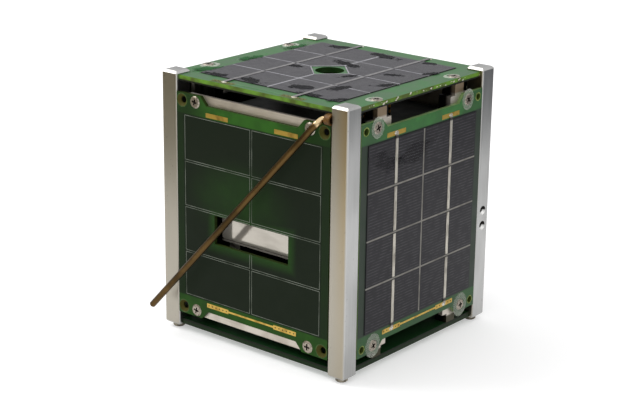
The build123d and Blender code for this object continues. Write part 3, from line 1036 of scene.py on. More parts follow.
class Beads(Growth):
    """Flattened uneven beads, one on each seat: solder and resin."""

    name = "beads"
    inputs = {
        **dict.fromkeys(("Length", "Width", "Rise", "Clear", "Lump", "Grain"), FLOAT),
        "Seed": COUNT,
    }
    ROUNDS: ClassVar[int] = 4
    UNEVEN: ClassVar[Pair] = (0.85, 1.1)

    def grow(self) -> Node:
        """Flatten a ball, mark its clear middle, set copies on the seats, and push their skin about.

        Returns:
            The node that gives the beads.
        """
        start = self.start
        ball = self.put(Kind.BALL, {"Radius": 0.5, "Subdivisions": self.ROUNDS})
        high = self.put(Kind.TIMES, (start["Rise"], 2.0))
        size = self.put(Kind.VECTOR, (start["Length"], start["Width"], high))
        spot = self.put(Kind.SPLIT, (self.put(Kind.SPOT),)).outputs
        along = self.put(Kind.TIMES, (spot["X"], start["Length"]))
        beside = self.put(Kind.TIMES, (spot["Y"], start["Width"]))
        out = self.put(Kind.LENGTH, (self.put(Kind.VECTOR, (along, beside)),))
        middle = self.put(Kind.BELOW, (out, start["Clear"]))
        mark = {"Geometry": ball, "Name": Mark.CLEAR.value, "Value": middle}
        marked = self.put(Kind.MARKED, mark, domain="POINT")
        flat = self.put(Kind.MOVED, {"Geometry": marked, "Scale": size})
        least, most = self.UNEVEN
        mixed = self.put(Kind.MIXED, {"Min": least, "Max": most, "Seed": start["Seed"]})
        real = self.put(Kind.REAL, (self.seat(flat, mixed=mixed),))
        fine = self.put(Kind.OVER, (1.0, start["Grain"]))
        noise = self.put(Kind.NOISE, {"Vector": self.put(Kind.SPOT), "Scale": fine, "Detail": 2.0})
        push = self.put(Kind.SHIFT, (noise.outputs["Color"], (0.5, 0.5, 0.5)))
        offset = self.put(Kind.ENLARGE, (push, start["Lump"]))
        return self.put(Kind.SMOOTH, (self.put(Kind.PUSHED, {"Geometry": real, "Offset": offset}),))


class Smears(Growth):
    """Thin films that thicken to the middle, one on each seat, with the cover kept as an attribute."""

    name = "smears"
    inputs = {"Thickness": FLOAT}
    SIDES: ClassVar[int] = 24

    def grow(self) -> Node:
        """Mark a low cone by its height and set it on the seats, whose size gives its length and width.

        Returns:
            The node that gives the films.
        """
        low = {"Vertices": self.SIDES, "Radius Top": 0.0, "Radius Bottom": 0.5 * MM, "Depth": 1.0}
        height = self.put(Kind.SPLIT, (self.put(Kind.SPOT),)).outputs["Z"]
        mark = {"Geometry": self.put(Kind.CONE, low), "Name": Mark.COVER.value, "Value": height}
        marked = self.put(Kind.MARKED, mark, domain="POINT")
        flat = self.put(Kind.VECTOR, (1.0, 1.0, self.start["Thickness"]))
        return self.seat(self.put(Kind.MOVED, {"Geometry": marked, "Scale": flat}))


class CellRows(Growth):
    """What repeats over the rows and columns of cells, kept clear of the board's port."""

    GRID: ClassVar[dict[str, str]] = {
        **dict.fromkeys(("Columns", "Rows"), COUNT),
        **dict.fromkeys(("Cell width", "Cell height", "Pitch across", "Pitch up"), FLOAT),
        **dict.fromkeys(("Line", "Thickness", "Port width", "Port height", "Port up"), FLOAT),
        **dict.fromkeys(("Has port", "Diamond"), FLAG),
    }

    def spread(self, shape: Node) -> Node:
        """Set the shape at each cell's middle and clear the port.

        Args:
            shape: The node that gives one cell's shape.

        Returns:
            The node that gives all of them.
        """
        start = self.start
        wide, tall = (
            self.put(Kind.TIMES, (self.put(Kind.MINUS, (start[count], 1.0)), start[pitch]))
            for count, pitch in (("Columns", "Pitch across"), ("Rows", "Pitch up"))
        )
        sizes = {"Size X": wide, "Size Y": tall, "Vertices X": start["Columns"], "Vertices Y": start["Rows"]}
        middles = self.put(Kind.GRID, sizes)
        real = self.put(Kind.REAL, (self.put(Kind.COPIES, {"Points": middles, "Instance": shape}),))
        thick = self.put(Kind.TIMES, (start["Thickness"], 4.0))
        size = self.put(Kind.VECTOR, (start["Port width"], start["Port height"], thick))
        block = self.put(Kind.CUBE, {"Size": size})
        turn = self.put(Kind.VECTOR, {"Z": self.put(Kind.TIMES, (start["Diamond"], math.pi / 4))})
        raised = self.put(Kind.VECTOR, {"Y": start["Port up"]})
        port = self.put(Kind.MOVED, {"Geometry": block, "Translation": raised, "Rotation": turn})
        either = {"Switch": start["Has port"], "False": real, "True": self.put(Kind.CUT, (real, port))}
        return self.put(Kind.EITHER, either)


class CellOutlines(CellRows):
    """Printed rectangles, one round each cell's place."""

    name = "cell_outlines"
    inputs = CellRows.GRID

    def grow(self) -> Node:
        """Cut a thin frame from a plate and set it at each cell.

        Returns:
            The node that gives the frames.
        """
        start = self.start
        twice = self.put(Kind.TIMES, (start["Line"], 2.0))
        inner = [self.put(Kind.MINUS, (start[label], twice)) for label in ("Cell width", "Cell height")]
        plate = self.put(Kind.VECTOR, (start["Cell width"], start["Cell height"], start["Thickness"]))
        hole = self.put(Kind.VECTOR, (*inner, self.put(Kind.TIMES, (start["Thickness"], 3.0))))
        solids = [self.put(Kind.CUBE, {"Size": size}) for size in (plate, hole)]
        return self.spread(self.put(Kind.CUT, tuple(solids)))


class CellSheet(CellRows):
    """One plain sheet for each place, or for the whole field with a single row and column."""

    name = "cell_sheet"
    inputs = CellRows.GRID

    def grow(self) -> Node:
        """Make a flat sheet and clear the port from it.

        Returns:
            The node that gives the sheet.
        """
        labels = ("Cell width", "Cell height", "Thickness")
        size = self.put(Kind.VECTOR, tuple(self.start[label] for label in labels))
        return self.spread(self.put(Kind.CUBE, {"Size": size}))


class Fingers(CellRows):
    """The printed silver lines of every cell."""

    name = "fingers"
    inputs = {**CellRows.GRID, "Spacing": FLOAT}

    def grow(self) -> Node:
        """Stack lines over a cell and set the stack at each cell.

        Returns:
            The node that gives the lines.
        """
        start = self.start
        across = self.put(Kind.MINUS, (start["Cell width"], start["Spacing"]))
        size = self.put(Kind.VECTOR, (across, start["Line"], start["Thickness"]))
        line = self.put(Kind.CUBE, {"Size": size})
        count = self.put(Kind.WHOLE, (self.put(Kind.OVER, (start["Cell height"], start["Spacing"])),))
        span = self.put(Kind.TIMES, (self.put(Kind.MINUS, (count, 1.0)), start["Spacing"]))
        row = {
            "Count": self.put(Kind.TO_COUNT, (count,)),
            "Start Location": self.put(Kind.VECTOR, {"Y": self.put(Kind.TIMES, (span, -0.5))}),
            "Offset": self.put(Kind.VECTOR, {"Y": start["Spacing"]}),
        }
        stack = self.put(Kind.COPIES, {"Points": self.put(Kind.ROW, row), "Instance": line})
        return self.spread(stack)


class Chips(Growth):
    """Ragged chips strewn along a line: what is left of the tabs that a board was broken from."""

    name = "chips"
    inputs = {
        **dict.fromkeys(("Length", "Smallest", "Largest", "Stray"), FLOAT),
        **dict.fromkeys(("Count", "Seed"), COUNT),
    }
    LEAST: ClassVar[Size] = (-9.0, -0.6, -1.0)
    MOST: ClassVar[Size] = (9.0, 0.4, 0.5)
    FLATNESS: ClassVar[Size] = (1.0, 0.5, 0.4)
    ROUNDS: ClassVar[int] = 2
    TILT: ClassVar[float] = 0.6

    def grow(self) -> Node:
        """Strew mixed, turned chips along X about the middle.

        Returns:
            The node that gives the chips.
        """
        start = self.start
        stride = self.put(Kind.OVER, (start["Length"], self.put(Kind.MINUS, (start["Count"], 1.0))))
        row = {
            "Count": start["Count"],
            "Start Location": self.put(Kind.VECTOR, {"X": self.put(Kind.TIMES, (start["Length"], -0.5))}),
            "Offset": self.put(Kind.VECTOR, {"X": stride}),
        }
        near = self.put(Kind.STREWN, {"Min": self.LEAST, "Max": self.MOST, "Seed": start["Seed"]})
        offset = self.put(Kind.ENLARGE, (near, start["Stray"]))
        strewn = self.put(Kind.PUSHED, {"Geometry": self.put(Kind.ROW, row), "Offset": offset})
        chip = self.put(Kind.BALL, {"Radius": 0.5, "Subdivisions": self.ROUNDS})
        shape = self.put(Kind.MOVED, {"Geometry": chip, "Scale": self.FLATNESS})
        sizes = {"Min": start["Smallest"], "Max": start["Largest"], "Seed": start["Seed"]}
        size = self.put(Kind.MIXED, sizes)
        tilt = self.put(Kind.MIXED, {"Min": -self.TILT, "Max": self.TILT, "Seed": start["Seed"]})
        turn = self.put(Kind.EULER, (self.put(Kind.VECTOR, {"Y": tilt}),))
        return self.put(Kind.COPIES, {"Points": strewn, "Instance": shape, "Rotation": turn, "Scale": size})


def settle(piece: Object, body: str = "root") -> None:
    """Make a finished piece ride on a body and report it.

    Args:
        piece: The piece.
        body: The body that carries it.
    """
    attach(piece, body)
    log.info("piece %s rides on %s, %d faces", piece.name, body, len(piece.data.polygons))


def dress(node: str, finish: Material) -> None:
    """Give a CAD node its finish and report it.

    Args:
        node: The node's name.
        finish: Its material.
    """
    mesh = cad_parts[node].data
    mesh.materials.clear()
    mesh.materials.append(finish)
    log.info("node %s dressed in %s", node, finish.name)


@dataclass(frozen=True)
class Seat:
    """One place on a board: across and up from its middle, and there the length, width and turn of a mark."""

    across: float
    up: float
    length: float = 1.0
    width: float = 1.0
    turn: float = 0.0


@dataclass(frozen=True)
class Piece:
    """One piece that a board gets: the tree that grows it, its name, its material and its slot."""

    tree: Growth
    label: str
    finish: Material
    slot: Slot


@dataclass(frozen=True)
class Kit:
    """The finishes that differ between the side boards and the end boards."""

    gaps: Material
    cell: Material
    silver: Material
    pads: Material
    trace: Material
    resin: Material
    film: Material


class Workshop:
    """The trees and the shared finishes, made once."""

    def __init__(self) -> None:
        """Make every tree and every finish that more than one piece takes."""
        self.plates = Plates()
        self.screws = Screws()
        self.rings = Rings()
        self.beads = Beads()
        self.smears = Smears()
        self.outlines = CellOutlines()
        self.sheets = CellSheet()
        self.fingers = Fingers()
        self.chips = Chips()
        self.screw_steel = ScrewSteel("stainless_screw").build()
        self.ink = PrintInk("white_print").build()
        self.gold = GoldPlate("immersion_gold").build()
        self.laminate = BareLaminate("bare_laminate").build()
        self.solder = Solder("hand_solder").build()
        # Dark discs of painted shade for drilled holes.
        self.soot = MouldedBlack("drilled_hole", colour="#1a120a").build()
        self.green_film = HandlingFilm("mask_stain", colour="#174a20", shade="#1f5a28").build()
        rubbed_gold = GoldPlate("immersion_gold_rubbed", colour="#cfae58", shade="#a5853c").build()
        self.side_kit = Kit(
            gaps=PrintInk("gap_laminate", colour="#908d87", shade="#7a7772").build(),
            cell=CoatedCell("coated_silicon_side").build(),
            silver=CellSilver("fired_silver_paste").build(),
            pads=rubbed_gold,
            trace=rubbed_gold,
            resin=StakingResin("staking_epoxy").build(),
            film=HandlingFilm("wiped_streak", grain=Grain(20.0, 20.0, 4.0), cover=0.2).build(),
        )
        self.end_kit = Kit(
            gaps=PrintInk("end_gap_laminate", colour="#a5a4a9", shade="#8c8b90").build(),
            # The end cells' coating is lighter than the side cells': painted sheen.
            cell=CoatedCell("coated_silicon_end", colour="#313035", shade="#3b3a3f", gloss=0.4).build(),
            silver=CellSilver("fired_silver_paste_end", colour="#4a484e", shade="#3d3b41").build(),
            pads=GoldPlate("immersion_gold_dulled", colour="#7c7838", shade="#565426").build(),
            trace=PrintInk("trace_under_mask", colour="#5f8560", shade="#547a54").build(),
            resin=StakingResin("staking_epoxy_thick", cover=(0.5, 0.85)).build(),
            film=HandlingFilm("handling_film").build(),
        )


@dataclass
class Panel:
    """One circuit board with what is printed, soldered and screwed on it."""

    shop: Workshop
    side: Side
    screws: tuple[Seat, ...]
    pad_rises: Pair
    pad_reach: float = 18.7
    pad_length: float = 12.3
    pad_width: float = 1.9
    pad_corner: float = 0.15
    trace_width: float = 0.8
    foil: float = 0.06
    dots_per_pad: int = 6
    dot_pitch: float = 2.0
    dot_size: float = 0.6
    dot_corner: float = 0.28
    screw_head: float = 5.3
    screw_crown: float = 4.3
    screw_rise: float = 0.4
    # The recess's length, width and depth.
    recess: Size = (2.7, 0.7, 1.0)
    resin_size: Pair = (9.4, 10.2)
    resin_clear: float = 2.3
    resin_rise: float = 0.22
    resin_inset: float = 0.0
    resin_lump: float = 0.12
    resin_grain: float = 3.4
    resin_seed: int = 3
    # A bead's length, width and rise.
    solder_size: Size = (2.6, 1.7, 0.3)
    solder_lump: float = 0.2
    solder_grain: float = 0.9
    solder_seed: int = 11
    film_reach: float = 1.7
    film_out: float = 0.06
    film_thickness: float = 0.02
    cell_gap: Pair = (0.9, 0.7)
    gap_depth: float = 0.04
    gap_trim: float = 0.1
    finger_spacing: float = 1.25
    finger_line: float = 0.3
    columns: int = 2
    rows: int = 4
    print_line: float = 0.2
    print_thickness: float = 0.03
    has_cells: bool = True
    staked: bool = True
    # The port's width, its place above the middle, and its height.
    port: Size = (0.0, 0.0, 0.0)
    diamond: bool = False
    smears: tuple[Seat, ...] = ()

    def __post_init__(self) -> None:
        """Read the board's face and its cells' field from the frame."""
        self.kit = self.shop.end_kit if self.side.is_end else self.shop.side_kit
        low, high = (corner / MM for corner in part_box(f"board_{self.side.label}"))
        source = self.side.label if self.has_cells else Side.REAR.label
        cell_low, cell_high = (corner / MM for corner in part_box(f"cells_{source}"))
        out = self.side.out
        centre = (low + high) / 2
        half = (high - low) / 2
        self.middle = centre + out * abs(half.dot(out))
        self.reach = abs(half.dot(self.side.across))
        size = cell_high - cell_low
        wide = size.x if self.side.is_end else max(size.x, size.y)
        tall = size.y if self.side.is_end else size.z
        self.field = (wide / 2, tall / 2)
        self.skin = size.dot(Vector(map(abs, out))) if self.has_cells else 0.0

    @property
    def cell(self) -> Pair:
        """One cell's width and height."""
        counts = (self.columns, self.rows)
        return tuple((2 * h - g * (n - 1)) / n for h, g, n in zip(self.field, self.cell_gap, counts))

    @property
    def pads(self) -> list[Seat]:
        """The middles of the four pads, the upper two first."""
        return [Seat(s * self.pad_reach, rise) for rise in self.pad_rises for s in (-1, 1)]

    def row_at_pads(self, count: int, pitch: float, up: float) -> list[Seat]:
        """Find a row of places, a pitch apart and at one height, for each lower pad."""
        first = (count - 1) / 2
        return [Seat(pad.across + (i - first) * pitch, up) for pad in self.pads[2:] for i in range(count)]

    def at(self, across: float, up: float, out: float) -> Vector:
        """Find a point in metres, right of and above the board's middle and out of its face."""
        return (self.middle + self.side.across * across + self.side.up * up + self.side.out * out) * MM

    def seats(self, spots: Sequence[Seat], out: float) -> Mesh:
        """Make a mesh of seats for a tree.

        Args:
            spots: The seats.
            out: How far they stand out of the face.

        Returns:
            A mesh of points that know the board's facing, the direction along each seat, and its size.
        """
        mesh = bpy.data.meshes.new(f"seats_{self.side.label}")
        mesh.from_pydata([self.at(s.across, s.up, out) for s in spots], [], [])
        turns = [math.radians(s.turn) for s in spots]
        layers = {
            Growth.FACING: [self.side.out for _ in spots],
            Growth.ALONG: [self.side.across * math.cos(t) + self.side.up * math.sin(t) for t in turns],
            Growth.SCALE: [(s.length, s.width, 1.0) for s in spots],
        }
        for name, rows in layers.items():
            layer = mesh.attributes.new(name, "FLOAT_VECTOR", "POINT")
            layer.data.foreach_set("vector", [v for row in rows for v in row])
        return mesh

    def name(self, what: str) -> str:
        """Name a piece of this board."""
        return f"{what}_{self.side.label}"

    def seat(self, piece: Piece, spots: Sequence[Seat], out: float = 0.0, **sizes: Any) -> None:
        """Grow a piece on places of the board, as far out of its face as given, and settle it."""
        grown = piece.tree.run(self.name(piece.label), self.seats(spots, out), piece.finish, **sizes)
        settle(grown)

    def lay(self, piece: Piece, out: float, turn: Matrix | None = None, **sizes: Any) -> None:
        """Grow a flat piece about the origin, lay it on the board and settle it.

        Args:
            piece: What is grown, flat in X and Y.
            out: How far its middle stands out of the face.
            turn: How it is turned and moved before it is laid, or none.
            sizes: The tree's inputs.
        """
        grown = piece.tree.run(self.name(piece.label), bpy.data.meshes.new("seat"), piece.finish, **sizes)
        if turn is not None:
            grown.data.transform(turn)
        onto = Matrix((self.side.across, self.side.up, self.side.out)).transposed().to_4x4()
        grown.data.transform(Matrix.Translation(self.at(0.0, 0.0, out)) @ onto)
        settle(grown)

    def cell_rows(self) -> dict[str, Any]:
        """Give the sizes that the trees of cells share.

        Returns:
            The trees' inputs.
        """
        wide, tall = self.cell
        port_width, port_up, port_height = self.port
        return {
            "columns": self.columns,
            "rows": self.rows,
            "cell_width": wide,
            "cell_height": tall,
            "pitch_across": wide + self.cell_gap[0],
            "pitch_up": tall + self.cell_gap[1],
            "port_width": port_width,
            "port_height": port_height,
            "port_up": port_up,
            "has_port": port_width > 0.0,
            "diamond": self.diamond,
        }

    def print_outlines(self) -> None:
        """Print the outlines of the cells' places."""
        sizes = {"line": self.print_line, "thickness": self.print_thickness, **self.cell_rows()}
        self.lay(Piece(self.shop.outlines, "outlines", self.shop.ink, Slot.MASK), 0.0, **sizes)

    def back_cells(self) -> None:
        """Lay the pale sheet that shows in the gaps between the cells."""
        thick = self.skin - self.gap_depth
        wide, tall = (2 * half - self.gap_trim for half in self.field)
        whole = {"columns": 1, "rows": 1, "cell_width": wide, "cell_height": tall, "thickness": thick}
        sheet = Piece(self.shop.sheets, "gaps", self.kit.gaps, Slot.MASK)
        self.lay(sheet, thick / 2, **{**self.cell_rows(), **whole})

    def lay_fingers(self) -> None:
        """Print the silver lines on the cells, wider than the real ones so that they show."""
        line = {"spacing": self.finger_spacing, "line": self.finger_line, "thickness": self.print_thickness}
        fingers = Piece(self.shop.fingers, "fingers", self.kit.silver, Slot.CELL)
        self.lay(fingers, self.skin, **line, **self.cell_rows())

    def lay_pads(self) -> None:
        """Plate the pads at both ends, the trace that joins the lower two, and dark dots of painted shade for
        their drilled holes.
        """
        plates = self.shop.plates
        lower = self.pad_rises[1]
        foil = {"thickness": self.foil, "corner": self.pad_corner}
        pad = {"length": self.pad_length, "width": self.pad_width, **foil}
        self.seat(Piece(plates, "pads", self.kit.pads, Slot.GOLD), self.pads[2:], **pad)
        if not self.side.is_end:
            self.seat(Piece(plates, "pads_upper", self.shop.gold, Slot.GOLD), self.pads[:2], **pad)
        line = {"length": 2 * self.pad_reach - self.pad_length, "width": self.trace_width, **foil}
        self.seat(Piece(plates, "trace", self.kit.trace, Slot.GOLD), [Seat(0.0, lower)], **line)
        dots = self.row_at_pads(self.dots_per_pad, self.dot_pitch, lower)
        round_dot = {"length": self.dot_size, "width": self.dot_size, "corner": self.dot_corner}
        drilled = Piece(plates, "dots", self.shop.soot, Slot.MASK)
        self.seat(drilled, dots, self.foil / 2, thickness=self.foil, **round_dot)

    def drive_screws(self) -> None:
        """Drive the board's screws, and lock them with resin where the board has it."""
        order = list(Side).index(self.side)
        head = {"head": self.screw_head, "crown": self.screw_crown, "rise": self.screw_rise}
        cross = dict(zip(("recess_length", "recess_width", "recess_depth"), self.recess))
        screws = Piece(self.shop.screws, "screws", self.shop.screw_steel, Slot.STEEL)
        self.seat(screws, self.screws, seed=order, **head, **cross)
        if not self.staked:
            return
        inset = self.resin_inset
        stakes = [replace(s, across=s.across - math.copysign(inset, s.across)) for s in self.screws]
        bead = dict(zip(("length", "width", "rise"), (*self.resin_size, self.resin_rise)))
        skin = {"clear": self.resin_clear, "lump": self.resin_lump, "grain": self.resin_grain}
        staking = Piece(self.shop.beads, "staking", self.kit.resin, Slot.RESIN)
        self.seat(staking, stakes, seed=order + self.resin_seed, **bead, **skin)

    def solder_ribbons(self) -> None:
        """Lay a bead of solder where each ribbon ends on its pad."""
        bead = dict(zip(("length", "width", "rise"), self.solder_size))
        skin = {"lump": self.solder_lump, "grain": self.solder_grain, "seed": self.solder_seed}
        self.seat(Piece(self.shop.beads, "solder", self.shop.solder, Slot.RIBBON), self.pads, **bead, **skin)

    def smear(self, label: str, spots: tuple[Seat, ...], film: Material) -> None:
        """Leave soft marks on the board's cells.

        Args:
            label: What the marks are called.
            spots: Their places, lengths, widths and turns.
            film: Their material.
        """
        reach = self.film_reach
        grown = [replace(s, length=s.length * reach, width=s.width * reach) for s in spots]
        marks = Piece(self.shop.smears, label, film, Slot.CELL)
        self.seat(marks, grown, self.skin + self.film_out, thickness=self.film_thickness)

    def ribbon(self) -> TinnedRibbon:
        """Choose the ribbons' finish, dimmer on the end boards.

        Returns:
            The finish.
        """
        pitch = self.cell[1] + self.cell_gap[1]
        rise = 0.0 if self.side.is_end else self.middle.z
        finish = TinnedRibbon(self.name("tinned_copper_ribbon"), side=self.side, middle=rise, pitch=pitch)
        if self.side.is_end:
            finish = replace(finish, colour="#8d8b8c", shade="#797778", dip="#6a6869")
        return finish

    def build(self) -> None:
        """Make everything on the board and dress the board, its cells and its ribbons."""
        label = self.side.label
        self.lay_pads()
        self.drive_screws()
        if not self.has_cells:
            self.print_outlines()
        else:
            self.back_cells()
            self.lay_fingers()
            self.solder_ribbons()
            dress(f"cells_{label}", self.kit.cell)
            dress(f"ribbons_{label}", self.ribbon().build())
        if self.smears:
            self.smear("smears", self.smears, self.kit.film)
        dress(f"board_{label}", self.mask().build())

    def mask(self) -> BoardMask:
        """Choose the board's own mask."""
        raise NotImplementedError


@dataclass
class SidePanel(Panel):
    """A side board: slots at both ends, spare holes at the corners, and a window in the front one."""

    spare: Pair = (38.4, 45.9)
    spare_ring: Pair = (3.7, 3.0)
    cone_ring: Pair = (6.1, 5.4)
    ring_thickness: float = 0.08

    def ring_spares(self) -> None:
        """Bare the laminate round the spare holes, wider and olive on the board with no cells."""
        across, up = self.spare
        spots = [Seat(a, u) for a in (-across, across) for u in (-up, up)]
        (outside, inside), finish = self.spare_ring, self.shop.laminate
        if not self.has_cells:
            outside, inside = self.cone_ring
            finish = BareLaminate("olive_laminate", colour="#44602a", shade="#2a421c").build()
        size = {"outside": outside, "inside": inside, "thickness": self.ring_thickness}
        self.seat(Piece(self.shop.rings, "rings", finish, Slot.MASK), spots, **size)

    def build(self) -> None:
        """Make the board, and the rings round its spare holes."""
        super().build()
        self.ring_spares()

    def mask(self) -> BoardMask:
        """Choose dark copper under the cells' places; the front board glows green round its window.

        Returns:
            The finish.
        """
        out = self.side.out
        plain = BoardMask(
            self.name("solder_mask"),
            side=self.side,
            middle=self.middle.z,
            face=self.middle.dot(out) * sum(out),
            field=self.field,
        )
        if not self.has_cells:
            width, up, height = self.port
            return replace(plain, port=(width / 2, up, height / 2), glow=0.3, haze=0.22)
        return replace(
            plain,
            copper="#232b25",
            bare="#3b7c3a",
            edge="#6f8a55",
            edge_shade="#6f8a55",
            plated="#4a5a26",
            margin=0.06,
            over=0.8,
            over_ends=0.6,
            under=0.4,
            gloss=0.25,
            roughness=0.35,
        )


@dataclass
class EndPanel(Panel):
    """An end board: a round port in a printed diamond, comb pads and chips along its broken edge."""

    pad_reach: float = 18.8
    pad_width: float = 1.4
    resin_size: Pair = (7.2, 9.4)
    resin_inset: float = 1.2
    film_reach: float = 1.6
    port: Size = (15.4, 0.0, 15.4)
    diamond: bool = True
    diamond_side: float = 15.3
    diamond_line: float = 0.5
    comb_pitch: float = 1.2
    comb_teeth: int = 10
    comb_rise: float = -47.2
    comb_tooth: Pair = (0.6, 1.8)
    comb_corner: float = 0.1
    chip_run: float = 74.0
    chip_count: int = 40
    chip_sizes: Pair = (0.2, 1.7)
    chip_stray: float = 0.7
    chip_seed: int = 5
    chip_inset: float = 0.05
    chip_depth: float = 0.7
    # Places of dark green films over the board's border.
    stains: tuple[Seat, ...] = ()

    def strew_chips(self) -> None:
        """Leave the chips of the broken tabs along the right edge."""
        smallest, largest = self.chip_sizes
        chips = {"length": self.chip_run, "count": self.chip_count, "smallest": smallest, "largest": largest}
        spread = {"stray": self.chip_stray, "seed": self.chip_seed}
        edge = Matrix.Translation((self.reach * MM - self.chip_inset * MM, 0.0, 0.0))
        turn = edge @ Matrix.Rotation(-math.pi / 2, 4, "Z")
        piece = Piece(self.shop.chips, "chips", self.shop.solder, Slot.MASK)
        self.lay(piece, -self.chip_depth, turn, **chips, **spread)

    def print_diamond(self) -> None:
        """Print the pale diamond round the port."""
        side = self.diamond_side
        one = {"columns": 1, "rows": 1, "cell_width": side, "cell_height": side}
        piece = Piece(self.shop.outlines, "diamond", self.kit.gaps, Slot.MASK)
        turn = Matrix.Rotation(math.pi / 4, 4, "Z")
        self.lay(piece, self.skin / 2, turn, line=self.diamond_line, thickness=self.skin, **one)

    def comb_pads(self) -> None:
        """Plate the comb of contacts in front of each lower pad."""
        spots = self.row_at_pads(self.comb_teeth, self.comb_pitch, self.comb_rise)
        length, width = self.comb_tooth
        tooth = {"length": length, "width": width, "thickness": self.foil, "corner": self.comb_corner}
        self.seat(Piece(self.shop.plates, "comb", self.kit.pads, Slot.GOLD), spots, **tooth)

    def build(self) -> None:
        """Make the board, the print round its port, and what lies along its edges."""
        super().build()
        self.print_diamond()
        self.comb_pads()
        if self.stains:
            self.strew_chips()
            self.smear("stains", self.stains, self.shop.green_film)

    def mask(self) -> BoardMask:
        """Choose green all round the cells and round the port, with the sawn edge darker further from the
        face.

        Returns:
            The finish.
        """
        top = self.side is Side.TOP
        return BoardMask(
            self.name("solder_mask"),
            side=self.side,
            face=self.middle.z,
            field=self.field,
            spare=(0.0, 0.0),
            bore=(7.0, 6.6),
            plated="#1c3a14",
            bare="#306732",
            # Painted light and shade: the top board's edge bright, the bottom board's nearly black.
            edge="#67942f" if top else "#182c12",
            edge_shade="#4f5f20" if top else "#182c12",
            core="#141a0e",
            # Painted shade on the inner face, green where it shows on the bottom board.
            inner="#0d140b" if top else "#173a1c",
            core_from=1.5,
            margin=0.9,
            over=0.9,
            over_ends=0.9,
            under=0.95,
            glow=1.0,
            port=(10.6, 0.0, 10.6),
            spread=0.6,
            gloss=0.28 if top else 0.12,
            roughness=0.3,
        )


class Structure:
    """Rails, feet, walls, ribs and blocks: the metal that carries the boards."""

    def build(self) -> None:
        """Dress every structural node by the start of its name."""
        mill = MillAluminium("mill_aluminium").build()
        finishes = {
            "rail_": RailAluminium("satin_anodised_aluminium").build(),
            "foot_": TurnedSteel("turned_dark_steel").build(),
            "wall_": mill,
            "rib_": mill,
            "blocks_": MillAluminium("milled_corner_block", post_from=49.2).build(),
        }
        for node in sorted(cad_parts):
            for start, finish in finishes.items():
                if node.startswith(start):
                    dress(node, finish)


class Inside:
    """What shows through the slots: stacked boards, battery box, header and standoffs."""

    def build(self) -> None:
        """Dress the inner nodes."""
        # The stacked boards take a darker copy of the mask: painted shade inside the frame.
        board = BoardMask(
            "solder_mask_stack",
            side=Side.TOP,
            bare="#16240f",
            copper="#0a0e08",
            edge="#222c14",
            edge_shade="#222c14",
            gloss=0.1,
        ).build()
        for level in ("lower", "middle", "upper"):
            dress(f"stack_board_{level}", board)
        dress("standoffs", MillAluminium("standoff_aluminium").build())
        dress("battery_box", BatteryFoil("battery_foil").build())
        dress("header_block", MouldedBlack("moulded_nylon").build())
        dress("header_pins", GoldPlate("pin_gold_plate", colour="#b98a34", shade="#8d6420", band=2.2).build())


class Antenna:
    """The bent rod and the block that its root turns in."""

    def build(self) -> None:
        """Dress the rod and the block."""
        dress("antenna_rod", TarnishedBrass("tarnished_brass").build())
        # The block's brown is the laminate's own colour, darkened as painted shade of the rod's root by the
        # rail.
        dress("hinge_block", BrownLaminate("brown_laminate").build())


@dataclass(frozen=True)
class Card:
    """A plain card outside the picture for the metal to mirror: its colour, direction and size in metres."""

    name: str
    colour: str
    away: tuple[float, float]
    distance: float
    width: float
    height: float


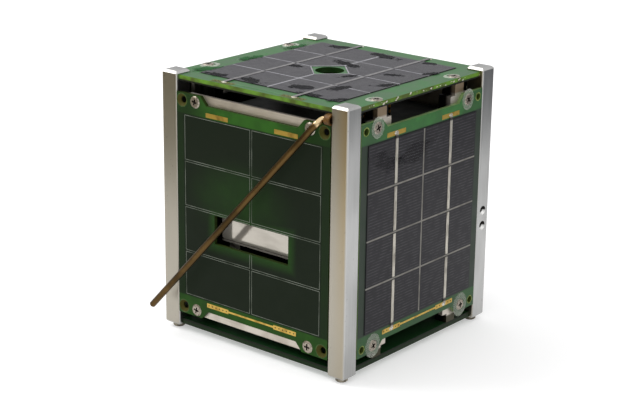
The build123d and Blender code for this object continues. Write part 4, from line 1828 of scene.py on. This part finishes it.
@dataclass
class Studio:
    """A pale floor, soft light, and the camera at the photograph's viewpoint."""

    azimuth: float = 39.596
    elevation: float = 17.815
    roll: float = 0.707
    place: Size = (431.47, -533.56, 275.2)
    focal_pixels: float = 1662.3
    frame_width: float = 620.0
    sensor: float = 36.0
    floor_half: float = 6.0
    floor_white: float = 0.73
    floor_glow: float = 0.39
    zenith: float = 1.1
    horizon: float = 0.5
    sky_top: float = 0.9
    key_direction: Size = (-0.61, -0.31, 0.73)
    key_target: float = 0.06
    key_distance: float = 1.3
    key_size: float = 0.75
    key_power: float = 8.0
    card_lift: float = 0.002
    near_clip: float = 0.01
    cards: tuple[Card, ...] = (
        Card("card_left", "#a0987f", (-0.64, -0.77), 0.28, 0.5, 0.3),
        Card("card_right", "#4a4e54", (0.64, 0.77), 0.36, 0.7, 0.2),
    )

    def build(self) -> None:
        """Set up the floor, the light and the camera."""
        bpy.context.scene.view_settings.view_transform = "Standard"
        self.lay_floor()
        for card in self.cards:
            self.stand_card(card)
        self.light_world()
        self.hang_key()
        self.aim_camera()

    def sheet(self, name: str, corners: list[Vector], material: Material) -> Object:
        """Make a flat stage piece.

        Args:
            name: Its name.
            corners: Its corners in order, in metres.
            material: Its material.

        Returns:
            The object, marked as stage.
        """
        mesh = bpy.data.meshes.new(name)
        mesh.from_pydata(corners, [], [tuple(range(len(corners)))])
        mesh.materials.append(material)
        piece = bpy.data.objects.new(name, mesh)
        bpy.context.scene.collection.objects.link(piece)
        return piece

    def lay_floor(self) -> None:
        """Lay a pale floor that reads as white where no shadow falls."""
        material = bpy.data.materials.new("studio_floor")
        material.use_nodes = True
        wiring = Wiring(material.node_tree)
        wiring.tree.nodes.clear()
        rays = wiring.put(Kind.RAYS).outputs
        seen = rays["Is Camera Ray"]
        for kind in ("Is Glossy Ray", "Is Transmission Ray"):
            seen = wiring.put(Kind.MOST, (seen, rays[kind]))
        glow = wiring.put(Kind.GLOW, {"Strength": wiring.put(Kind.TIMES, (seen, self.floor_glow))})
        matt = wiring.put(Kind.MATT, {"Color": (self.floor_white,) * 3 + (1.0,)})
        wiring.put(Kind.SURFACE, {"Surface": wiring.put(Kind.BOTH, (glow, matt))})
        reach = self.floor_half
        corners = [Vector((x * reach, y * reach, 0.0)) for x, y in ((-1, -1), (1, -1), (1, 1), (-1, 1))]
        self.sheet("floor", corners, material)

    def stand_card(self, card: Card) -> None:
        """Stand a card on the floor, facing the satellite.

        Args:
            card: The card.
        """
        material = bpy.data.materials.new(card.name)
        material.use_nodes = True
        shader = material.node_tree.nodes["Principled BSDF"]
        Wiring(material.node_tree).join(shader, {"Base Color": card.colour, "Roughness": 0.9})
        away = Vector((*card.away, 0.0)).normalized()
        along = Vector((away.y, -away.x, 0.0)) * (card.width / 2)
        foot = away * card.distance + Vector((0.0, 0.0, self.card_lift))
        top = Vector((0.0, 0.0, card.height))
        corners = [foot - along, foot + along, foot + along + top, foot - along + top]
        piece = self.sheet(card.name, corners, material)
        piece.visible_camera = False
        piece.visible_shadow = False
        piece.visible_diffuse = False

    def light_world(self) -> None:
        """Light the scene from all round, most from above."""
        world = bpy.data.worlds.new("studio")
        bpy.context.scene.world = world
        world.use_nodes = True
        wiring = Wiring(world.node_tree)
        direction = wiring.put(Kind.COORDINATES).outputs["Generated"]
        height = wiring.put(Kind.SPLIT, (direction,)).outputs["Z"]
        level = wiring.put(Kind.RANGE, (height, 0.0, self.sky_top, self.horizon, self.zenith))
        wiring.join(wiring.tree.nodes["Background"], {"Color": (1.0, 1.0, 1.0, 1.0), "Strength": level})

    def hang_key(self) -> None:
        """Hang the main soft light, up and to the left, where the rails' upper chamfers mirror it."""
        lamp = bpy.data.lights.new("key", "AREA")
        lamp.size = self.key_size
        lamp.energy = self.key_power
        key = bpy.data.objects.new("key", lamp)
        direction = Vector(self.key_direction).normalized()
        key.location = direction * self.key_distance + Vector((0.0, 0.0, self.key_target))
        key.rotation_euler = direction.to_track_quat("Z", "Y").to_euler()
        key.visible_camera = False
        bpy.context.scene.collection.objects.link(key)

    def aim_camera(self) -> None:
        """Place the camera that was fitted to the rails' edges in the photograph."""
        a, e, r = (math.radians(v) for v in (self.azimuth, self.elevation, self.roll))
        back = Vector((math.sin(a) * math.cos(e), -math.cos(a) * math.cos(e), math.sin(e)))
        level = Vector((math.cos(a), math.sin(a), 0.0))
        rise = back.cross(level)
        right = level * math.cos(r) + rise * math.sin(r)
        up = rise * math.cos(r) - level * math.sin(r)
        lens = bpy.data.cameras.new("camera")
        lens.sensor_width = self.sensor
        lens.lens = self.focal_pixels * self.sensor / self.frame_width
        lens.clip_start = self.near_clip
        camera = bpy.data.objects.new("camera", lens)
        turn = Matrix((right, up, back)).transposed().to_4x4()
        camera.matrix_world = Matrix.Translation(Vector(self.place) * MM) @ turn
        bpy.context.scene.collection.objects.link(camera)
        bpy.context.scene.camera = camera


SIDE_SCREWS = tuple(Seat(a, u) for a in (-31.0, 31.0) for u in (-46.1, 46.1))
END_SCREWS = tuple(Seat(a, u) for a in (-45.4, 45.4) for u in (-26.5, 26.5))
SIDE_PADS = (41.7, -42.25)
END_PADS = (45.9, -45.4)
FRONT_WINDOW = (40.6, -7.2, 12.7)
# Soft dark films over the cells: across, up, length, width and turn of each.
RIGHT_DARK_MARKS = (Seat(-25.0, 31.5, 17.0, 5.5, -18.0), Seat(-8.0, 31.0, 22.0, 6.0, 10.0))
TOP_DARK_MARKS = (
    Seat(-30.0, -38.0, 12.0, 4.0, 7.0),
    Seat(-11.5, -36.0, 12.0, 6.0, -8.0),
    Seat(-14.5, -4.2, 8.0, 3.5, 2.0),
    Seat(10.4, -31.5, 10.5, 6.0, 10.0),
    Seat(-24.7, 37.5, 11.0, 5.0, 14.0),
    Seat(-3.0, 14.0, 15.0, 4.5, -10.0),
    Seat(4.0, 11.5, 6.0, 5.0, 0.0),
    Seat(24.0, -22.3, 11.0, 6.0, 70.0),
    Seat(21.2, -38.5, 10.0, 4.0, -5.0),
    Seat(35.0, -37.5, 7.0, 4.0, 50.0),
    Seat(2.2, 36.5, 16.0, 6.0, -12.0),
    Seat(25.0, 38.0, 9.0, 3.5, 6.0),
    Seat(13.0, -4.5, 8.0, 3.0, 60.0),
    Seat(25.0, 10.4, 9.0, 4.0, 22.0),
    Seat(35.6, 22.4, 7.5, 3.5, 65.0),
    Seat(34.0, -5.7, 10.0, 6.0, 66.0),
)
# Dark green films over the top board's border, left of the cells.
TOP_GREEN_MARKS = tuple(Seat(-39.6, up, 13.0, 5.5, 78.0) for up in (-33.5, -4.7, 24.8))


def main() -> None:
    """Build the studio and dress the satellite, part by part."""
    logging.basicConfig(level=logging.INFO, format="%(name)s: %(message)s")
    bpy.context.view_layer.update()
    Studio().build()
    Structure().build()
    Inside().build()
    Antenna().build()
    shop = Workshop()
    front = {"has_cells": False, "staked": False, "port": FRONT_WINDOW}
    SidePanel(shop, Side.FRONT, SIDE_SCREWS, SIDE_PADS, **front).build()
    for side in (Side.RIGHT, Side.REAR, Side.LEFT):
        smears = RIGHT_DARK_MARKS if side is Side.RIGHT else ()
        SidePanel(shop, side, SIDE_SCREWS, SIDE_PADS, smears=smears).build()
    EndPanel(shop, Side.TOP, END_SCREWS, END_PADS, smears=TOP_DARK_MARKS, stains=TOP_GREEN_MARKS).build()
    EndPanel(shop, Side.BOTTOM, END_SCREWS, END_PADS).build()


if __name__ == "__main__":
    main()
